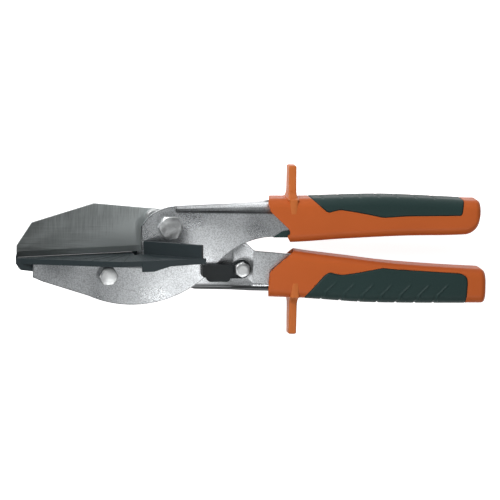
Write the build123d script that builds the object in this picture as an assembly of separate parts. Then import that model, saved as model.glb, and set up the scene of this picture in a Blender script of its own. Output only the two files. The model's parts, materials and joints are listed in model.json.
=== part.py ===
from build123d import *
import math
import os

# Mitre shears: a hand tool that cuts plastic trim at an angle, as an anvil shear does.
# Two folded sheet levers cross on one pivot bolt. The jaw lever carries the anvil, the table
# and the mitre fences; the blade lever nests inside it and carries the blade.
#
# While it is modelled, the pivot's axis is at X = Y = 0 and the blade's middle at Z = 0.
# X runs from the jaws to the grips, Y across the tool in the cutting plane, Z along the pivot.
# The tool lies on its side, shut. At the end it is moved to the bottom centre of its box.
# Tables whose names end in share or shares hold places as parts of the sizes named beside them.

# Shared values
OVERRUN = 5.0  # how far a cutting shape runs past what it cuts
FACE_GAP = 0.10  # between flat faces of pieces that turn past each other
BORE_GAP = 0.05  # radial, where a piece turns on a screw
SEAT_GAP = 0.05  # radial, where a screw only passes through

# Sheet levers
LEVER_WIDTH = 17.0  # over both cheeks, at the grips and the jaw
JAW_SHEET = 2.5
BLADE_SHEET = 2.2
BEND_RADIUS = 5.0  # outside of the rolled webs
BLADE_THICK = 2.0

# Jaw lever, seen from the side
JAW_REACH = 81.2  # pivot to the front end of the cheeks
JAW_DEPTH = 45.9  # pivot to the lowest point of the belly
JAW_TOP = 13.2  # pivot to the top of the web, where the web starts
WEB_START = 3.6  # the rolled web starts this far behind the pivot
JAW_COLLAR_X = 62.0  # the web rises as far as this, just inside the grip
JAW_COLLAR_TOP = 14.7
BELLY_RADIUS = 66.0
NECK_RADIUS = 45.0
CHEEK_NOSE_RADIUS = 25.0
TAIL_REACH = 166.0  # both levers' sheets end here, inside the grips
JAW_TAIL_TOP = 11.0
JAW_TAIL_HEIGHT = 11.0
# Shares of JAW_REACH behind the pivot and of JAW_DEPTH above it
NECK_END_SHARES = (0.785, -0.126)
NECK_START_SHARES = (0.375, -0.435)
BELLY_END_SHARES = (0.262, -0.660)
BELLY_START_SHARES = (-0.592, -0.891)
CHIN_SHARES = (-0.932, -0.706)
CHEEK_CORNER_SHARES = (-1.0, -0.655)
CHEEK_FOOT_SHARE = -0.205
CHEEK_SIDE_SHARE = -0.207

# Blade
BLADE_REACH = 90.1  # pivot to the blade's tip
BLADE_EDGE_DROP = 14.4  # pivot to the line of the cutting edge, square to it
BLADE_EDGE_SLOPE = 2.9  # degrees, the edge rises to the pivot when the tool is shut
BLADE_HEEL_REACH = 14.9  # the edge ends this far in front of the pivot
BLADE_SPINE = 13.1  # pivot to the highest point of the blade's back
BLADE_TANG_RADIUS = 10.4
BEVEL_HEIGHT = 3.6
EDGE_FLAT = 0.3  # thickness left at the edge
# Tip, shoulder, peak and root of the back, as shares of BLADE_REACH and BLADE_SPINE
BLADE_BACK_SHARES = ((-1.0, -0.924), (-0.902, 0.122), (-0.494, 1.0), (-0.049, 0.74))
TANG_TOP_ANGLE = 95.7  # degrees, where the back meets the round tang

# Blade lever, seen from the side
EYE_RADIUS = 8.5
EYE_FRONT_ANGLE = 200.0  # degrees round the pivot, where the heel's edge meets the eye
EYE_TOP_ANGLE = 65.0
ARM_BOTTOM = 37.6  # pivot to the underside of its web
ARM_BOTTOM_SLOPE = 1.0  # degrees, the web falls to the grip
ARM_NARROW_END = 38.0  # up to here the cheeks lie against the blade's faces
ARM_TAPER = 12.1  # and over this length they spread until they are as wide as the jaw lever
ARM_TOP = 10.1  # pivot to the shoulder on the arm's top edge
ARM_TAIL_HEIGHT = 11.0
NARROW_BEND_RADIUS = 2.6
# Shares of the taper's end behind the pivot and of ARM_TOP below it, from the shoulder to the grip
ARM_TOP_SHARES = ((0.87, 1.0), (0.93, 1.0), (1.02, 1.41), (1.42, 1.59))
ARM_HEEL_SHARE = 0.36
ARM_HEEL_SIDE_SHARES = (0.20, 0.85)  # of the taper's end and of the web's depth

# Anvil, worked out square to the table
TABLE_SLOPE = 2.2  # degrees, the table rises to the pivot
TABLE_DROP = 15.7  # pivot to the plane of the table
TABLE_THICK = 3.3
TABLE_HALF_WIDTH = 39.0
NOSE_REACH = 92.0
NOSE_HALF_WIDTH = 4.0
NOSE_LIP = 1.5
NOSE_LIP_THICK = 1.0
WING_CORNER_REACH = 33.5
WING_END_REACH = 21.4  # the moulded wings end here, and the fence brackets start
RIB_END_REACH = 19.2
RIB_DEPTH = 17.5
# The rib's underside from the nose back, as shares of NOSE_REACH and RIB_DEPTH
RIB_SHARES = ((1.0, 0.0), (1.0, 0.17), (0.969, 0.395), (0.885, 0.46), (0.60, 0.80), (0.42, 1.0), (0.30, 1.0))
RIB_HEEL_SHARE = 0.8
LEDGE_THICK = 2.0
LEDGE_END_REACH = 6.0
LEDGE_CORNER_SHARES = (0.70, 0.60)  # of WING_END_REACH and of TABLE_HALF_WIDTH
STRIP_WIDTH = 3.2
STRIP_DEPTH = 2.0  # into the table
STRIP_EDGE_GAP = 0.25  # below the shut blade's edge

# Mitre fences
FENCE_HEIGHT = 8.0
FENCE_THICK = 2.6
FENCE_ANGLE = 45.0
FENCE_APEX_REACH = 24.9  # where the line of the fence meets the blade's plane
FENCE_CHEEK_GAP = 0.4  # between the cheek and the bracket beside it
BRACKET_END_REACH = 16.8  # behind the pivot
SKIRT_THICK = 2.4
SKIRT_DEEP = 6.6
SKIRT_MIDDLE = 3.8
SKIRT_SHALLOW = 3.0
SKIRT_FOOT = 7.0  # length of its deepest stretch
SKIRT_RAMP = 10.0
WALL_END_SETBACK = 2.2  # the wall stops this far before the bracket's end

# Fasteners: shank diameter, size across flats, head height and nut height
PIVOT_SHANK = 8.0
PIVOT_FLATS = 13.0
PIVOT_HEAD = 5.3
PIVOT_NUT = 8.0
PIVOT_WASHER_DIAMETER = 16.0
PIVOT_WASHER_THICK = 1.6
PIVOT_SPACER_DIAMETER = 11.6
ANVIL_SHANK = 6.0
ANVIL_FLATS = 10.2
ANVIL_HEAD = 4.0
ANVIL_NUT = 5.0
ANVIL_BOLT_X = 36.5  # in front of the pivot
ANVIL_BOLT_Y = 29.1  # below the pivot
BLADE_SCREW_SHANK = 4.0
BLADE_SCREW_HEAD_DIAMETER = 9.2
BLADE_SCREW_HEAD = 1.6
BLADE_SCREW_X = 9.3
BLADE_SCREW_Y = 5.4
BLADE_NUT_FLATS = 7.0
BLADE_NUT = 2.2
LATCH_SHANK = 5.0
LATCH_FLATS = 8.2
LATCH_HEAD = 3.5
LATCH_NUT = 4.7
FENCE_SCREW_SHANK = 3.0
FENCE_SCREW_HEAD_DIAMETER = 5.6
FENCE_SCREW_HEAD = 1.5
FENCE_SCREW_BITE = 2.6  # depth in the bracket
FENCE_SCREW_X_SHARE = 0.80  # of WING_END_REACH
FENCE_SCREW_Z_SHARES = (0.45, 0.74)  # of TABLE_HALF_WIDTH
SHANK_PROUD = 1.0  # a shank's end past its nut
HEX_CHAMFER_SHARES = (0.05, 0.10)  # of the size across flats: down the flats and in from the corners
HEX_POINT_TURN = 30.0  # degrees, a hexagon with corners up and down

# Latch
LATCH_TAPER_SHARE = 0.3884  # its screw goes through the blade lever's taper, this far along it
LATCH_Y = 24.6  # below the pivot
LATCH_THICK = 3.8
LATCH_CLEAR = 0.35  # between the latch and the near cheek
LATCH_LOBE_RADIUS = 5.6
LATCH_LENGTH = 23.4  # screw to the far end of the block
LATCH_BLOCK_LENGTH = 18.0
LATCH_BLOCK_TOP = 2.6  # above the screw's axis
LATCH_BLOCK_BOTTOM = 4.9  # below the screw's axis
LATCH_BLOCK_ROUND = 1.3
LATCH_PAD = 2.6  # the thumb pad, below the block
LATCH_PAD_ROUND = 2.3
LATCH_BLOCK_EXTRA = 1.0  # the block is this much thicker than the arm
LATCH_SPACER_DIAMETER = 8.4

# Return spring: its coil fills the space between the far cheeks
WIRE = 0.8
SPRING_COILS = 1  # whole turns, besides the part turn between the legs
SPRING_SIDE_GAP = 0.1
SPRING_BORE_GAP = 0.4
SPRING_UPPER_LEG = 22.0
SPRING_UPPER_ANGLE = 12.3  # degrees up from X, shut
SPRING_LOWER_LEG = 18.0
SPRING_LOWER_ANGLE = -52.0
SPRING_TANG_BEND = 1.2
SPRING_TANG_GAP = 0.5
SPRING_SPANS = 2  # biarcs in a turn

# Grips: the shell over each lever's tail, its soft insert and its finger guard
GRIP_HALF_WIDTH = 12.0
GRIP_ROUND = 5.2
GRIP_END_ROUND = 4.0
INSERT_SKIN = 2.2  # the soft insert's thickness
INSERT_CORNER = 2.0
GRIP_START = 60.0  # the collars start this far behind the pivot
UPPER_GRIP_LENGTH = 128.6
UPPER_GRIP_TOP = 17.0  # above the pivot
UPPER_GRIP_HEIGHT = 26.0
LOWER_GRIP_LENGTH = 131.0
LOWER_GRIP_TOP = 14.4  # below the pivot
LOWER_GRIP_HEIGHT = 31.0
CAVITY_GAP = 0.1
# Sections of each grip: shares of its length, then of its height down to its underside and to its top
UPPER_SECTION_SHARES = (
    (-0.02, 1.01, 0.0),
    (0.194, 0.985, 0.005),
    (0.51, 0.885, -0.04),
    (0.70, 0.855, -0.02),
    (0.86, 0.845, 0.02),
    (0.95, 0.80, 0.035),
    (1.0, 0.62, 0.10),
)
LOWER_SECTION_SHARES = (
    (-0.02, 0.875, -0.03),
    (0.185, 0.91, 0.04),
    (0.50, 0.985, 0.215),
    (0.765, 1.0, 0.297),
    (0.92, 1.0, 0.335),
    (1.0, 0.995, 0.36),
)
# Outlines of the collars and of the soft inserts: shares of the grip's length and of its height down
UPPER_COLLAR_SHARES = (
    (0.0, -0.2),
    (-0.004, 0.27),
    (0.091, 0.70),
    (0.091, 0.80),
    (0.083, 0.93),
    (0.105, 1.2),
    (1.2, 1.2),
    (1.2, -0.2),
)
LOWER_COLLAR_SHARES = (
    (0.12, -0.2),
    (0.121, 0.0),
    (0.003, 0.44),
    (0.0, 0.47),
    (0.0, 1.2),
    (1.2, 1.2),
    (1.2, -0.2),
)
UPPER_INSERT_SHARES = (
    (0.178, -0.2),
    (0.190, -0.02),
    (0.258, 0.30),
    (0.272, 0.315),
    (0.322, 0.25),
    (0.417, 0.322),
    (0.52, 0.425),
    (0.63, 0.397),
    (0.885, 0.385),
    (0.905, -0.2),
)
LOWER_INSERT_SHARES = (
    (0.150, 1.2),
    (0.165, 0.86),
    (0.254, 0.435),
    (0.272, 0.393),
    (0.328, 0.445),
    (0.409, 0.397),
    (0.505, 0.32),
    (0.56, 0.33),
    (0.876, 0.416),
    (0.909, 0.50),
    (0.907, 0.80),
    (0.895, 1.2),
)
GUARD_X = 75.0
GUARD_THICK = 5.2
GUARD_RISE = 19.0
GUARD_DROP = 20.6
GUARD_WIDTH = 20.0
GUARD_TIP_WIDTH = 13.0
GUARD_EDGE_ROUND = 2.1
GUARD_TIP_ROUND = 4.5
GUARD_ROOT = 5.0  # the part of a guard that is sunk in its grip
GROOVE_START = 91.0  # the first groove across the insert, behind the pivot
GROOVE_PITCH = 11.2
GROOVE_RADIUS = 1.1
GROOVE_LIFT_SHARE = 0.35  # of its radius, the groove's axis stands above the surface
GROOVE_COUNT = 7

# Places behind the pivot
arm_wide_start = ARM_NARROW_END + ARM_TAPER
latch_x = ARM_NARROW_END + LATCH_TAPER_SHARE * ARM_TAPER

# Heights along the pivot's axis, each worked out from the one before it
blade_face = BLADE_THICK / 2
inner_face = blade_face + BLADE_SHEET
outer_face = LEVER_WIDTH / 2
cheek_inside = outer_face - JAW_SHEET
latch_back = outer_face + LATCH_CLEAR
latch_front = latch_back + LATCH_THICK


def side_face(lines):
    """The face inside a closed run of edges in the XY plane."""
    return make_face(Wire(lines))


def slab(face, low, high):
    """A face of the XY plane made a plate between two heights."""
    plate = extrude(face, amount=high - low, dir=(0, 0, 1))
    return Pos(0, 0, low) * plate


def rod(x, y, radius, low, high):
    """A round bar along Z."""
    bar = Cylinder(radius, high - low, align=(Align.CENTER, Align.CENTER, Align.MIN))
    return Pos(x, y, low) * bar


def block(x_low, x_high, y_low, y_high, z_low, z_high):
    """A plain block between three pairs of limits."""
    size = Box(x_high - x_low, y_high - y_low, z_high - z_low, align=(Align.MIN, Align.MIN, Align.MIN))
    return Pos(x_low, y_low, z_low) * size


def at_shares(shares, reach, height):
    """A point given as shares of a reach and of a height."""
    return (shares[0] * reach, shares[1] * height)


def on_circle(radius, angle):
    """The point of a circle round the pivot at an angle in degrees."""
    turn = math.radians(angle)
    return (radius * math.cos(turn), radius * math.sin(turn))


def hexagon(x, y, flats, low, height, turn=0.0, bore=0.0):
    """A hexagon bar along Z with its corners turned down at the outer end; turn is in degrees."""
    prism = extrude(RegularPolygon(flats / 2, 6, major_radius=False), amount=height)
    corner = flats / math.sqrt(3)
    turned = Cylinder(corner, height, align=(Align.CENTER, Align.CENTER, Align.MIN))
    rim = turned.edges().group_by(Axis.Z)[-1]
    down_share, in_share = HEX_CHAMFER_SHARES
    prism = prism & chamfer(rim, flats * down_share, flats * in_share)
    if bore > 0:
        prism = prism - rod(0, 0, bore, -OVERRUN, height + OVERRUN)
    return Pos(x, y, low) * Rot(0, 0, turn) * prism


def far_side(shape):
    """A hexagon piece turned over to the far face of the tool, at the same X and Y."""
    return mirror(shape, about=Plane.XY)


def folded_section(width, sheet, bend, depth):
    """A U of sheet metal: width over its cheeks, depth from the outside of its web, opening along local Y."""
    inner_bend = bend - sheet
    outside = Pos(0, depth / 2) * Rectangle(width, depth)
    outside = fillet(outside.vertices().group_by(Axis.Y)[0], bend)
    inside = Pos(0, sheet + depth / 2) * Rectangle(width - 2 * sheet, depth)
    if inner_bend > 0:
        inside = fillet(inside.vertices().group_by(Axis.Y)[0], inner_bend)
    return outside - inside


def table_line(x, below=0.0):
    """The height of a line parallel to the table, and below it, at a distance behind the pivot."""
    slope = math.radians(TABLE_SLOPE)
    return (x * math.sin(slope) - TABLE_DROP - below) / math.cos(slope)


def to_table(shape):
    """Turns a shape that was modelled square to the table into its place."""
    return Rot(0, 0, TABLE_SLOPE) * shape


def jaw_outline():
    """The jaw lever's side outline, from its web round the tail, neck and belly to the front."""
    web = (WEB_START, JAW_TOP)
    collar = (JAW_COLLAR_X, JAW_COLLAR_TOP)
    top_end = (TAIL_REACH, JAW_TAIL_TOP)
    tail_low = (TAIL_REACH, JAW_TAIL_TOP - JAW_TAIL_HEIGHT)
    neck_end = at_shares(NECK_END_SHARES, JAW_REACH, JAW_DEPTH)
    neck_start = at_shares(NECK_START_SHARES, JAW_REACH, JAW_DEPTH)
    belly_end = at_shares(BELLY_END_SHARES, JAW_REACH, JAW_DEPTH)
    belly_start = at_shares(BELLY_START_SHARES, JAW_REACH, JAW_DEPTH)
    chin = at_shares(CHIN_SHARES, JAW_REACH, JAW_DEPTH)
    corner = at_shares(CHEEK_CORNER_SHARES, JAW_REACH, JAW_DEPTH)
    front_top = (-JAW_REACH, table_line(-JAW_REACH, TABLE_THICK))
    foot_x = CHEEK_FOOT_SHARE * JAW_REACH
    cheek_foot = (foot_x, table_line(foot_x, TABLE_THICK))
    cheek_side = (CHEEK_SIDE_SHARE * JAW_REACH, 0)
    return [
        Line(web, collar),
        Line(collar, top_end),
        Line(top_end, tail_low),
        Line(tail_low, neck_end),
        RadiusArc(neck_end, neck_start, -NECK_RADIUS),
        Line(neck_start, belly_end),
        RadiusArc(belly_end, belly_start, BELLY_RADIUS),
        Line(belly_start, chin),
        Line(chin, corner),
        Line(corner, front_top),
        Line(front_top, cheek_foot),
        Line(cheek_foot, cheek_side),
        RadiusArc(cheek_side, web, CHEEK_NOSE_RADIUS),
    ]


def jaw_lever():
    """Both cheeks and the rolled web of the fixed lever, from one sheet."""
    outline = side_face(jaw_outline())
    depth = JAW_TOP + JAW_DEPTH + OVERRUN
    section = folded_section(LEVER_WIDTH, JAW_SHEET, BEND_RADIUS, depth)
    web_line = ((WEB_START, JAW_TOP), (JAW_COLLAR_X, JAW_COLLAR_TOP), (TAIL_REACH, JAW_TAIL_TOP))
    stations = [Plane(origin=(x, y, 0), x_dir=(0, 0, 1), z_dir=(1, 0, 0)) * section for x, y in web_line]
    channel = loft([station.face() for station in stations], ruled=True)
    handle = channel & slab(outline, -outer_face, outer_face)
    low = -JAW_DEPTH - OVERRUN
    front = block(-JAW_REACH - OVERRUN, WEB_START, low, JAW_TOP + OVERRUN, -outer_face, outer_face)
    cheeks = slab(outline, cheek_inside, outer_face) + slab(outline, -outer_face, -cheek_inside)
    lever = handle + (cheeks & front)
    lever = lever - rod(0, 0, PIVOT_SHANK / 2 + SEAT_GAP, -LEVER_WIDTH, LEVER_WIDTH)
    bolt_hole = rod(-ANVIL_BOLT_X, -ANVIL_BOLT_Y, ANVIL_SHANK / 2 + SEAT_GAP, -LEVER_WIDTH, LEVER_WIDTH)
    return lever - bolt_hole


def arm_bottom_line(x):
    """The underside of the blade lever's web at a distance behind the pivot."""
    return -ARM_BOTTOM - math.tan(math.radians(ARM_BOTTOM_SLOPE)) * x


def arm_outline():
    """The blade lever's side outline without its eyes."""
    eye_front = on_circle(EYE_RADIUS, EYE_FRONT_ANGLE)
    eye_top = on_circle(EYE_RADIUS, EYE_TOP_ANGLE)
    top = [at_shares(shares, arm_wide_start, -ARM_TOP) for shares in ARM_TOP_SHARES]
    tail_low = (TAIL_REACH, arm_bottom_line(TAIL_REACH))
    tail_top = (TAIL_REACH, tail_low[1] + ARM_TAIL_HEIGHT)
    heel_x = ARM_HEEL_SHARE * arm_wide_start
    heel = (heel_x, arm_bottom_line(heel_x))
    heel_side = at_shares(ARM_HEEL_SIDE_SHARES, arm_wide_start, -ARM_BOTTOM)
    edges = [Line(start, end) for start, end in zip([eye_top] + top, top + [tail_top])]
    return edges + [
        Line(tail_top, tail_low),
        Line(tail_low, heel),
        TangentArc(heel, heel_side, tangent=(-1, math.tan(math.radians(ARM_BOTTOM_SLOPE)))),
        Line(heel_side, eye_front),
        Line(eye_front, eye_top),
    ]


def blade_lever():
    """The folded channel that carries the blade, narrowed to pass between the other lever's cheeks."""
    depth = ARM_BOTTOM + EYE_RADIUS + OVERRUN + BLADE_SCREW_Y
    slope = math.radians(ARM_BOTTOM_SLOPE)
    along = Vector(math.cos(slope), -math.sin(slope), 0)

    def station(x, width, bend):
        section = folded_section(width, BLADE_SHEET, bend, depth)
        return Plane(origin=(x, arm_bottom_line(x), 0), x_dir=(0, 0, -1), z_dir=along) * section

    narrow = station(ARM_NARROW_END, 2 * inner_face, NARROW_BEND_RADIUS)
    wide = station(arm_wide_start, LEVER_WIDTH, BEND_RADIUS)
    back = extrude(wide, amount=TAIL_REACH, dir=along)
    front = extrude(narrow, amount=ARM_NARROW_END + BLADE_REACH, dir=-along)
    taper = loft([narrow.face(), wide.face()], ruled=True)
    eyes = Circle(EYE_RADIUS) + Pos(-BLADE_SCREW_X, BLADE_SCREW_Y) * Circle(BLADE_SCREW_HEAD_DIAMETER / 2)
    profile = slab(side_face(arm_outline()), -outer_face, outer_face)
    profile = profile + slab(make_hull(eyes.edges()), -outer_face, outer_face)
    lever = (front + taper + back) & profile
    tang = spring_tang()
    bores = [
        (0, 0, PIVOT_SHANK / 2 + BORE_GAP, LEVER_WIDTH),
        (-BLADE_SCREW_X, BLADE_SCREW_Y, BLADE_SCREW_SHANK / 2 + SEAT_GAP, LEVER_WIDTH),
        (latch_x, -LATCH_Y, LATCH_SHANK / 2 + SEAT_GAP, LEVER_WIDTH),
        (tang.X, tang.Y, WIRE / 2 + SPRING_TANG_GAP, 0),
    ]
    for x, y, radius, high in bores:
        lever = lever - rod(x, y, radius, -LEVER_WIDTH, high)
    return lever


def blade_edge_line(x):
    """The height of the shut blade's edge at a distance behind the pivot."""
    slope = math.radians(BLADE_EDGE_SLOPE)
    return (x * math.sin(slope) - BLADE_EDGE_DROP) / math.cos(slope)


def blade_outline():
    """The blade's side outline, shut: tip, back, tang round the pivot, edge."""
    tip_low = (-BLADE_REACH, blade_edge_line(-BLADE_REACH))
    heel = (-BLADE_HEEL_REACH, blade_edge_line(-BLADE_HEEL_REACH))
    back = [at_shares(shares, BLADE_REACH, BLADE_SPINE) for shares in BLADE_BACK_SHARES]
    tang_top = on_circle(BLADE_TANG_RADIUS, TANG_TOP_ANGLE)
    tang_low = (0, -BLADE_TANG_RADIUS)
    edges = [Line(start, end) for start, end in zip([tip_low] + back, back + [tang_top])]
    return edges + [
        ThreePointArc(tang_top, (BLADE_TANG_RADIUS, 0), tang_low),
        Line(tang_low, heel),
        Line(heel, tip_low),
    ]


def blade():
    """The flat blade, ground to an edge from both faces."""
    plate = slab(side_face(blade_outline()), -blade_face, blade_face)
    half_edge = EDGE_FLAT / 2
    low = -BLADE_EDGE_DROP
    high = low + BEVEL_HEIGHT
    below = low - OVERRUN
    aside = blade_face + OVERRUN
    wedge_points = [(high, blade_face), (low, half_edge), (below, half_edge), (below, aside), (high, aside)]
    wedge = make_face(Polyline(*[(0, y, z) for y, z in wedge_points], close=True))
    wedge = extrude(wedge, amount=BLADE_REACH + OVERRUN, dir=(-1, 0, 0))
    wedge = Rot(0, 0, BLADE_EDGE_SLOPE) * wedge
    plate = plate - wedge - mirror(wedge, about=Plane.XY)
    plate = plate - rod(0, 0, PIVOT_SHANK / 2 + BORE_GAP, -BLADE_THICK, BLADE_THICK)
    screw_hole = BLADE_SCREW_SHANK / 2 + SEAT_GAP
    return plate - rod(-BLADE_SCREW_X, BLADE_SCREW_Y, screw_hole, -BLADE_THICK, BLADE_THICK)


def strip_slot(end):
    """The groove along the table, from the nose's lip back to an end, open at the top."""
    start = -NOSE_REACH + NOSE_LIP_THICK
    half = STRIP_WIDTH / 2
    return to_table(block(start, end, -TABLE_DROP - STRIP_DEPTH, OVERRUN, -half, half))


def cutting_strip():
    """The bar that fills the groove, its top just under the shut blade's edge."""
    top = -BLADE_EDGE_DROP - STRIP_EDGE_GAP
    below = block(-NOSE_REACH - OVERRUN, OVERRUN, -TABLE_DROP * 2, top, -STRIP_WIDTH, STRIP_WIDTH)
    return strip_slot(-WING_END_REACH) & (Rot(0, 0, BLADE_EDGE_SLOPE) * below)


def level_plate(points, top, thick):
    """A plate parallel to the table, from points of reach and width, its top at the height given."""
    outline = make_face(Polyline(*[(x, top, z) for x, z in points], close=True))
    return extrude(outline, amount=thick, dir=(0, -1, 0))


def anvil_rib(top):
    """The upright rib between the cheeks, from the nose to where the blade lever swings."""
    points = [(-share * NOSE_REACH, top - down * RIB_DEPTH) for share, down in RIB_SHARES]
    points.append((-RIB_END_REACH, top - RIB_HEEL_SHARE * RIB_DEPTH))
    points.append((-RIB_END_REACH, top - TABLE_THICK))
    points.append((-WING_END_REACH, top - TABLE_THICK))
    points.append((-WING_END_REACH, top))
    return slab(make_face(Polyline(*points, close=True)), -cheek_inside, cheek_inside)


def anvil_ledge(top, side):
    """The ledge under one fence bracket, with its two countersunk holes."""
    inside = side * (outer_face + FENCE_CHEEK_GAP)
    outside = side * (TABLE_HALF_WIDTH - SKIRT_THICK - FENCE_CHEEK_GAP)
    corner_share, width_share = LEDGE_CORNER_SHARES
    points = [
        (-WING_CORNER_REACH, inside),
        (-LEDGE_END_REACH, inside),
        (-LEDGE_END_REACH, side * width_share * TABLE_HALF_WIDTH),
        (-corner_share * WING_END_REACH, outside),
        (-WING_CORNER_REACH, outside),
    ]
    ledge = level_plate(points, top, LEDGE_THICK)
    hole = Rot(90, 0, 0) * Cylinder(FENCE_SCREW_SHANK / 2 + SEAT_GAP, OVERRUN * 2)
    for x, z in fence_screw_places():
        place = Pos(x, top - LEDGE_THICK, side * z)
        ledge = ledge - place * hole - place * fence_screw_head(SEAT_GAP)
    return ledge


def anvil_body():
    """The moulding between the cheeks: rib, nose and both table wings."""
    top = -TABLE_DROP
    near = [
        (-NOSE_REACH, NOSE_HALF_WIDTH),
        (-WING_CORNER_REACH, TABLE_HALF_WIDTH),
        (-WING_END_REACH, TABLE_HALF_WIDTH),
    ]
    far = [(x, -z) for x, z in reversed(near)]
    body = level_plate(near + far, top, TABLE_THICK) + anvil_rib(top)
    lip_end = -NOSE_REACH + NOSE_LIP_THICK
    body = body + block(-NOSE_REACH, lip_end, top, top + NOSE_LIP, -NOSE_HALF_WIDTH, NOSE_HALF_WIDTH)
    for side in (1, -1):
        body = body + anvil_ledge(top - TABLE_THICK, side)
    body = to_table(body) - strip_slot(OVERRUN - WING_END_REACH)
    return body - rod(-ANVIL_BOLT_X, -ANVIL_BOLT_Y, ANVIL_SHANK / 2 + SEAT_GAP, -LEVER_WIDTH, LEVER_WIDTH)


def fence_screw_places():
    """Places of one side's fence screws, as reach and distance from the blade's plane."""
    x = -FENCE_SCREW_X_SHARE * WING_END_REACH
    return [(x, share * TABLE_HALF_WIDTH) for share in FENCE_SCREW_Z_SHARES]


def fence_screw_head(gap):
    """The cone of a countersunk head whose face is at the origin, pointing up along Y."""
    wide = FENCE_SCREW_HEAD_DIAMETER / 2 + gap
    narrow = FENCE_SCREW_SHANK / 2 + gap
    cone = Cone(wide, narrow, FENCE_SCREW_HEAD, align=(Align.CENTER, Align.CENTER, Align.MIN))
    return Rot(-90, 0, 0) * cone


def fence_screws():
    """Two countersunk screws a side, up through the ledges into the brackets."""
    floor = -TABLE_DROP - TABLE_THICK - LEDGE_THICK
    length = LEDGE_THICK + FENCE_SCREW_BITE
    shank = Cylinder(FENCE_SCREW_SHANK / 2, length, align=(Align.CENTER, Align.CENTER, Align.MIN))
    screw = fence_screw_head(0) + Rot(-90, 0, 0) * shank
    screws = [to_table(Pos(x, floor, side * z) * screw) for side in (1, -1) for x, z in fence_screw_places()]
    return Compound(screws)


def fence(side):
    """A bracket that carries one mitre fence: floor, wall at 45 degrees, and the skirt on its outer edge."""
    top = -TABLE_DROP
    lean = math.tan(math.radians(FENCE_ANGLE))
    inside = outer_face + FENCE_CHEEK_GAP
    outside = TABLE_HALF_WIDTH
    start = -WING_END_REACH + SEAT_GAP
    wall_start = -FENCE_APEX_REACH + inside / lean
    wall_end = -FENCE_APEX_REACH + outside / lean
    across = FENCE_THICK / math.sin(math.radians(FENCE_ANGLE))
    end = BRACKET_END_REACH
    floor_points = [
        (start, inside),
        (wall_start + across, inside),
        (end, outside - SKIRT_THICK),
        (end, outside),
        (start, outside),
    ]
    wall_points = [
        (wall_start, inside),
        (wall_start + across, inside),
        (wall_end + across - WALL_END_SETBACK, outside - WALL_END_SETBACK * lean),
        (wall_end, outside),
    ]
    skirt_points = [
        (start, top),
        (start, top - SKIRT_DEEP),
        (start + SKIRT_FOOT, top - SKIRT_DEEP),
        (start + SKIRT_FOOT + SKIRT_RAMP, top - SKIRT_MIDDLE),
        (end, top - SKIRT_SHALLOW),
        (end, top),
    ]
    bracket = level_plate(floor_points, top, TABLE_THICK)
    bracket = bracket + level_plate(wall_points, top + FENCE_HEIGHT, FENCE_HEIGHT)
    bracket = bracket + slab(make_face(Polyline(*skirt_points, close=True)), outside - SKIRT_THICK, outside)
    bite = Rot(90, 0, 0) * Cylinder(FENCE_SCREW_SHANK / 2, FENCE_SCREW_BITE * 2)
    for x, z in fence_screw_places():
        bracket = bracket - Pos(x, top - TABLE_THICK, z) * bite
    if side < 0:
        bracket = mirror(bracket, about=Plane.XY)
    return to_table(bracket)


def pivot_bolt():
    """The hexagon bolt that both levers turn on."""
    end = outer_face + PIVOT_WASHER_THICK + PIVOT_NUT + SHANK_PROUD
    return hexagon(0, 0, PIVOT_FLATS, outer_face, PIVOT_HEAD) + rod(0, 0, PIVOT_SHANK / 2, -end, outer_face)


def pivot_washer():
    """The washer under the pivot's nut."""
    low = -outer_face - PIVOT_WASHER_THICK
    disc = rod(0, 0, PIVOT_WASHER_DIAMETER / 2, low, -outer_face)
    return disc - rod(0, 0, PIVOT_SHANK / 2 + SEAT_GAP, low - OVERRUN, OVERRUN)


def pivot_nut():
    """The pivot's lock nut, on the far side."""
    bore = PIVOT_SHANK / 2 + SEAT_GAP
    return far_side(hexagon(0, 0, PIVOT_FLATS, outer_face + PIVOT_WASHER_THICK, PIVOT_NUT, bore=bore))


def pivot_spacer():
    """The ring that keeps the near cheeks apart."""
    ring = rod(0, 0, PIVOT_SPACER_DIAMETER / 2, inner_face + FACE_GAP, cheek_inside)
    return ring - rod(0, 0, PIVOT_SHANK / 2 + SEAT_GAP, 0, LEVER_WIDTH)


def anvil_bolt():
    """The hexagon bolt through both cheeks and the anvil's rib."""
    x, y = -ANVIL_BOLT_X, -ANVIL_BOLT_Y
    shank = rod(x, y, ANVIL_SHANK / 2, -outer_face - ANVIL_NUT - SHANK_PROUD, outer_face)
    return hexagon(x, y, ANVIL_FLATS, outer_face, ANVIL_HEAD) + shank


def anvil_nut():
    """The anvil bolt's nut, on the far side."""
    bore = ANVIL_SHANK / 2 + SEAT_GAP
    return far_side(hexagon(-ANVIL_BOLT_X, -ANVIL_BOLT_Y, ANVIL_FLATS, outer_face, ANVIL_NUT, bore=bore))


def blade_screw():
    """The low round head beside the front cheek, with its shank through the blade."""
    x, y = -BLADE_SCREW_X, BLADE_SCREW_Y
    head = rod(x, y, BLADE_SCREW_HEAD_DIAMETER / 2, inner_face, inner_face + BLADE_SCREW_HEAD)
    head = chamfer(head.edges().group_by(Axis.Z)[-1], BLADE_SCREW_HEAD / 2)
    return head + rod(x, y, BLADE_SCREW_SHANK / 2, -inner_face - BLADE_NUT, inner_face)


def blade_nut():
    """The thin nut of the blade's screw, on the far inner cheek."""
    bore = BLADE_SCREW_SHANK / 2 + SEAT_GAP
    return far_side(hexagon(-BLADE_SCREW_X, BLADE_SCREW_Y, BLADE_NUT_FLATS, inner_face, BLADE_NUT, bore=bore))


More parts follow.
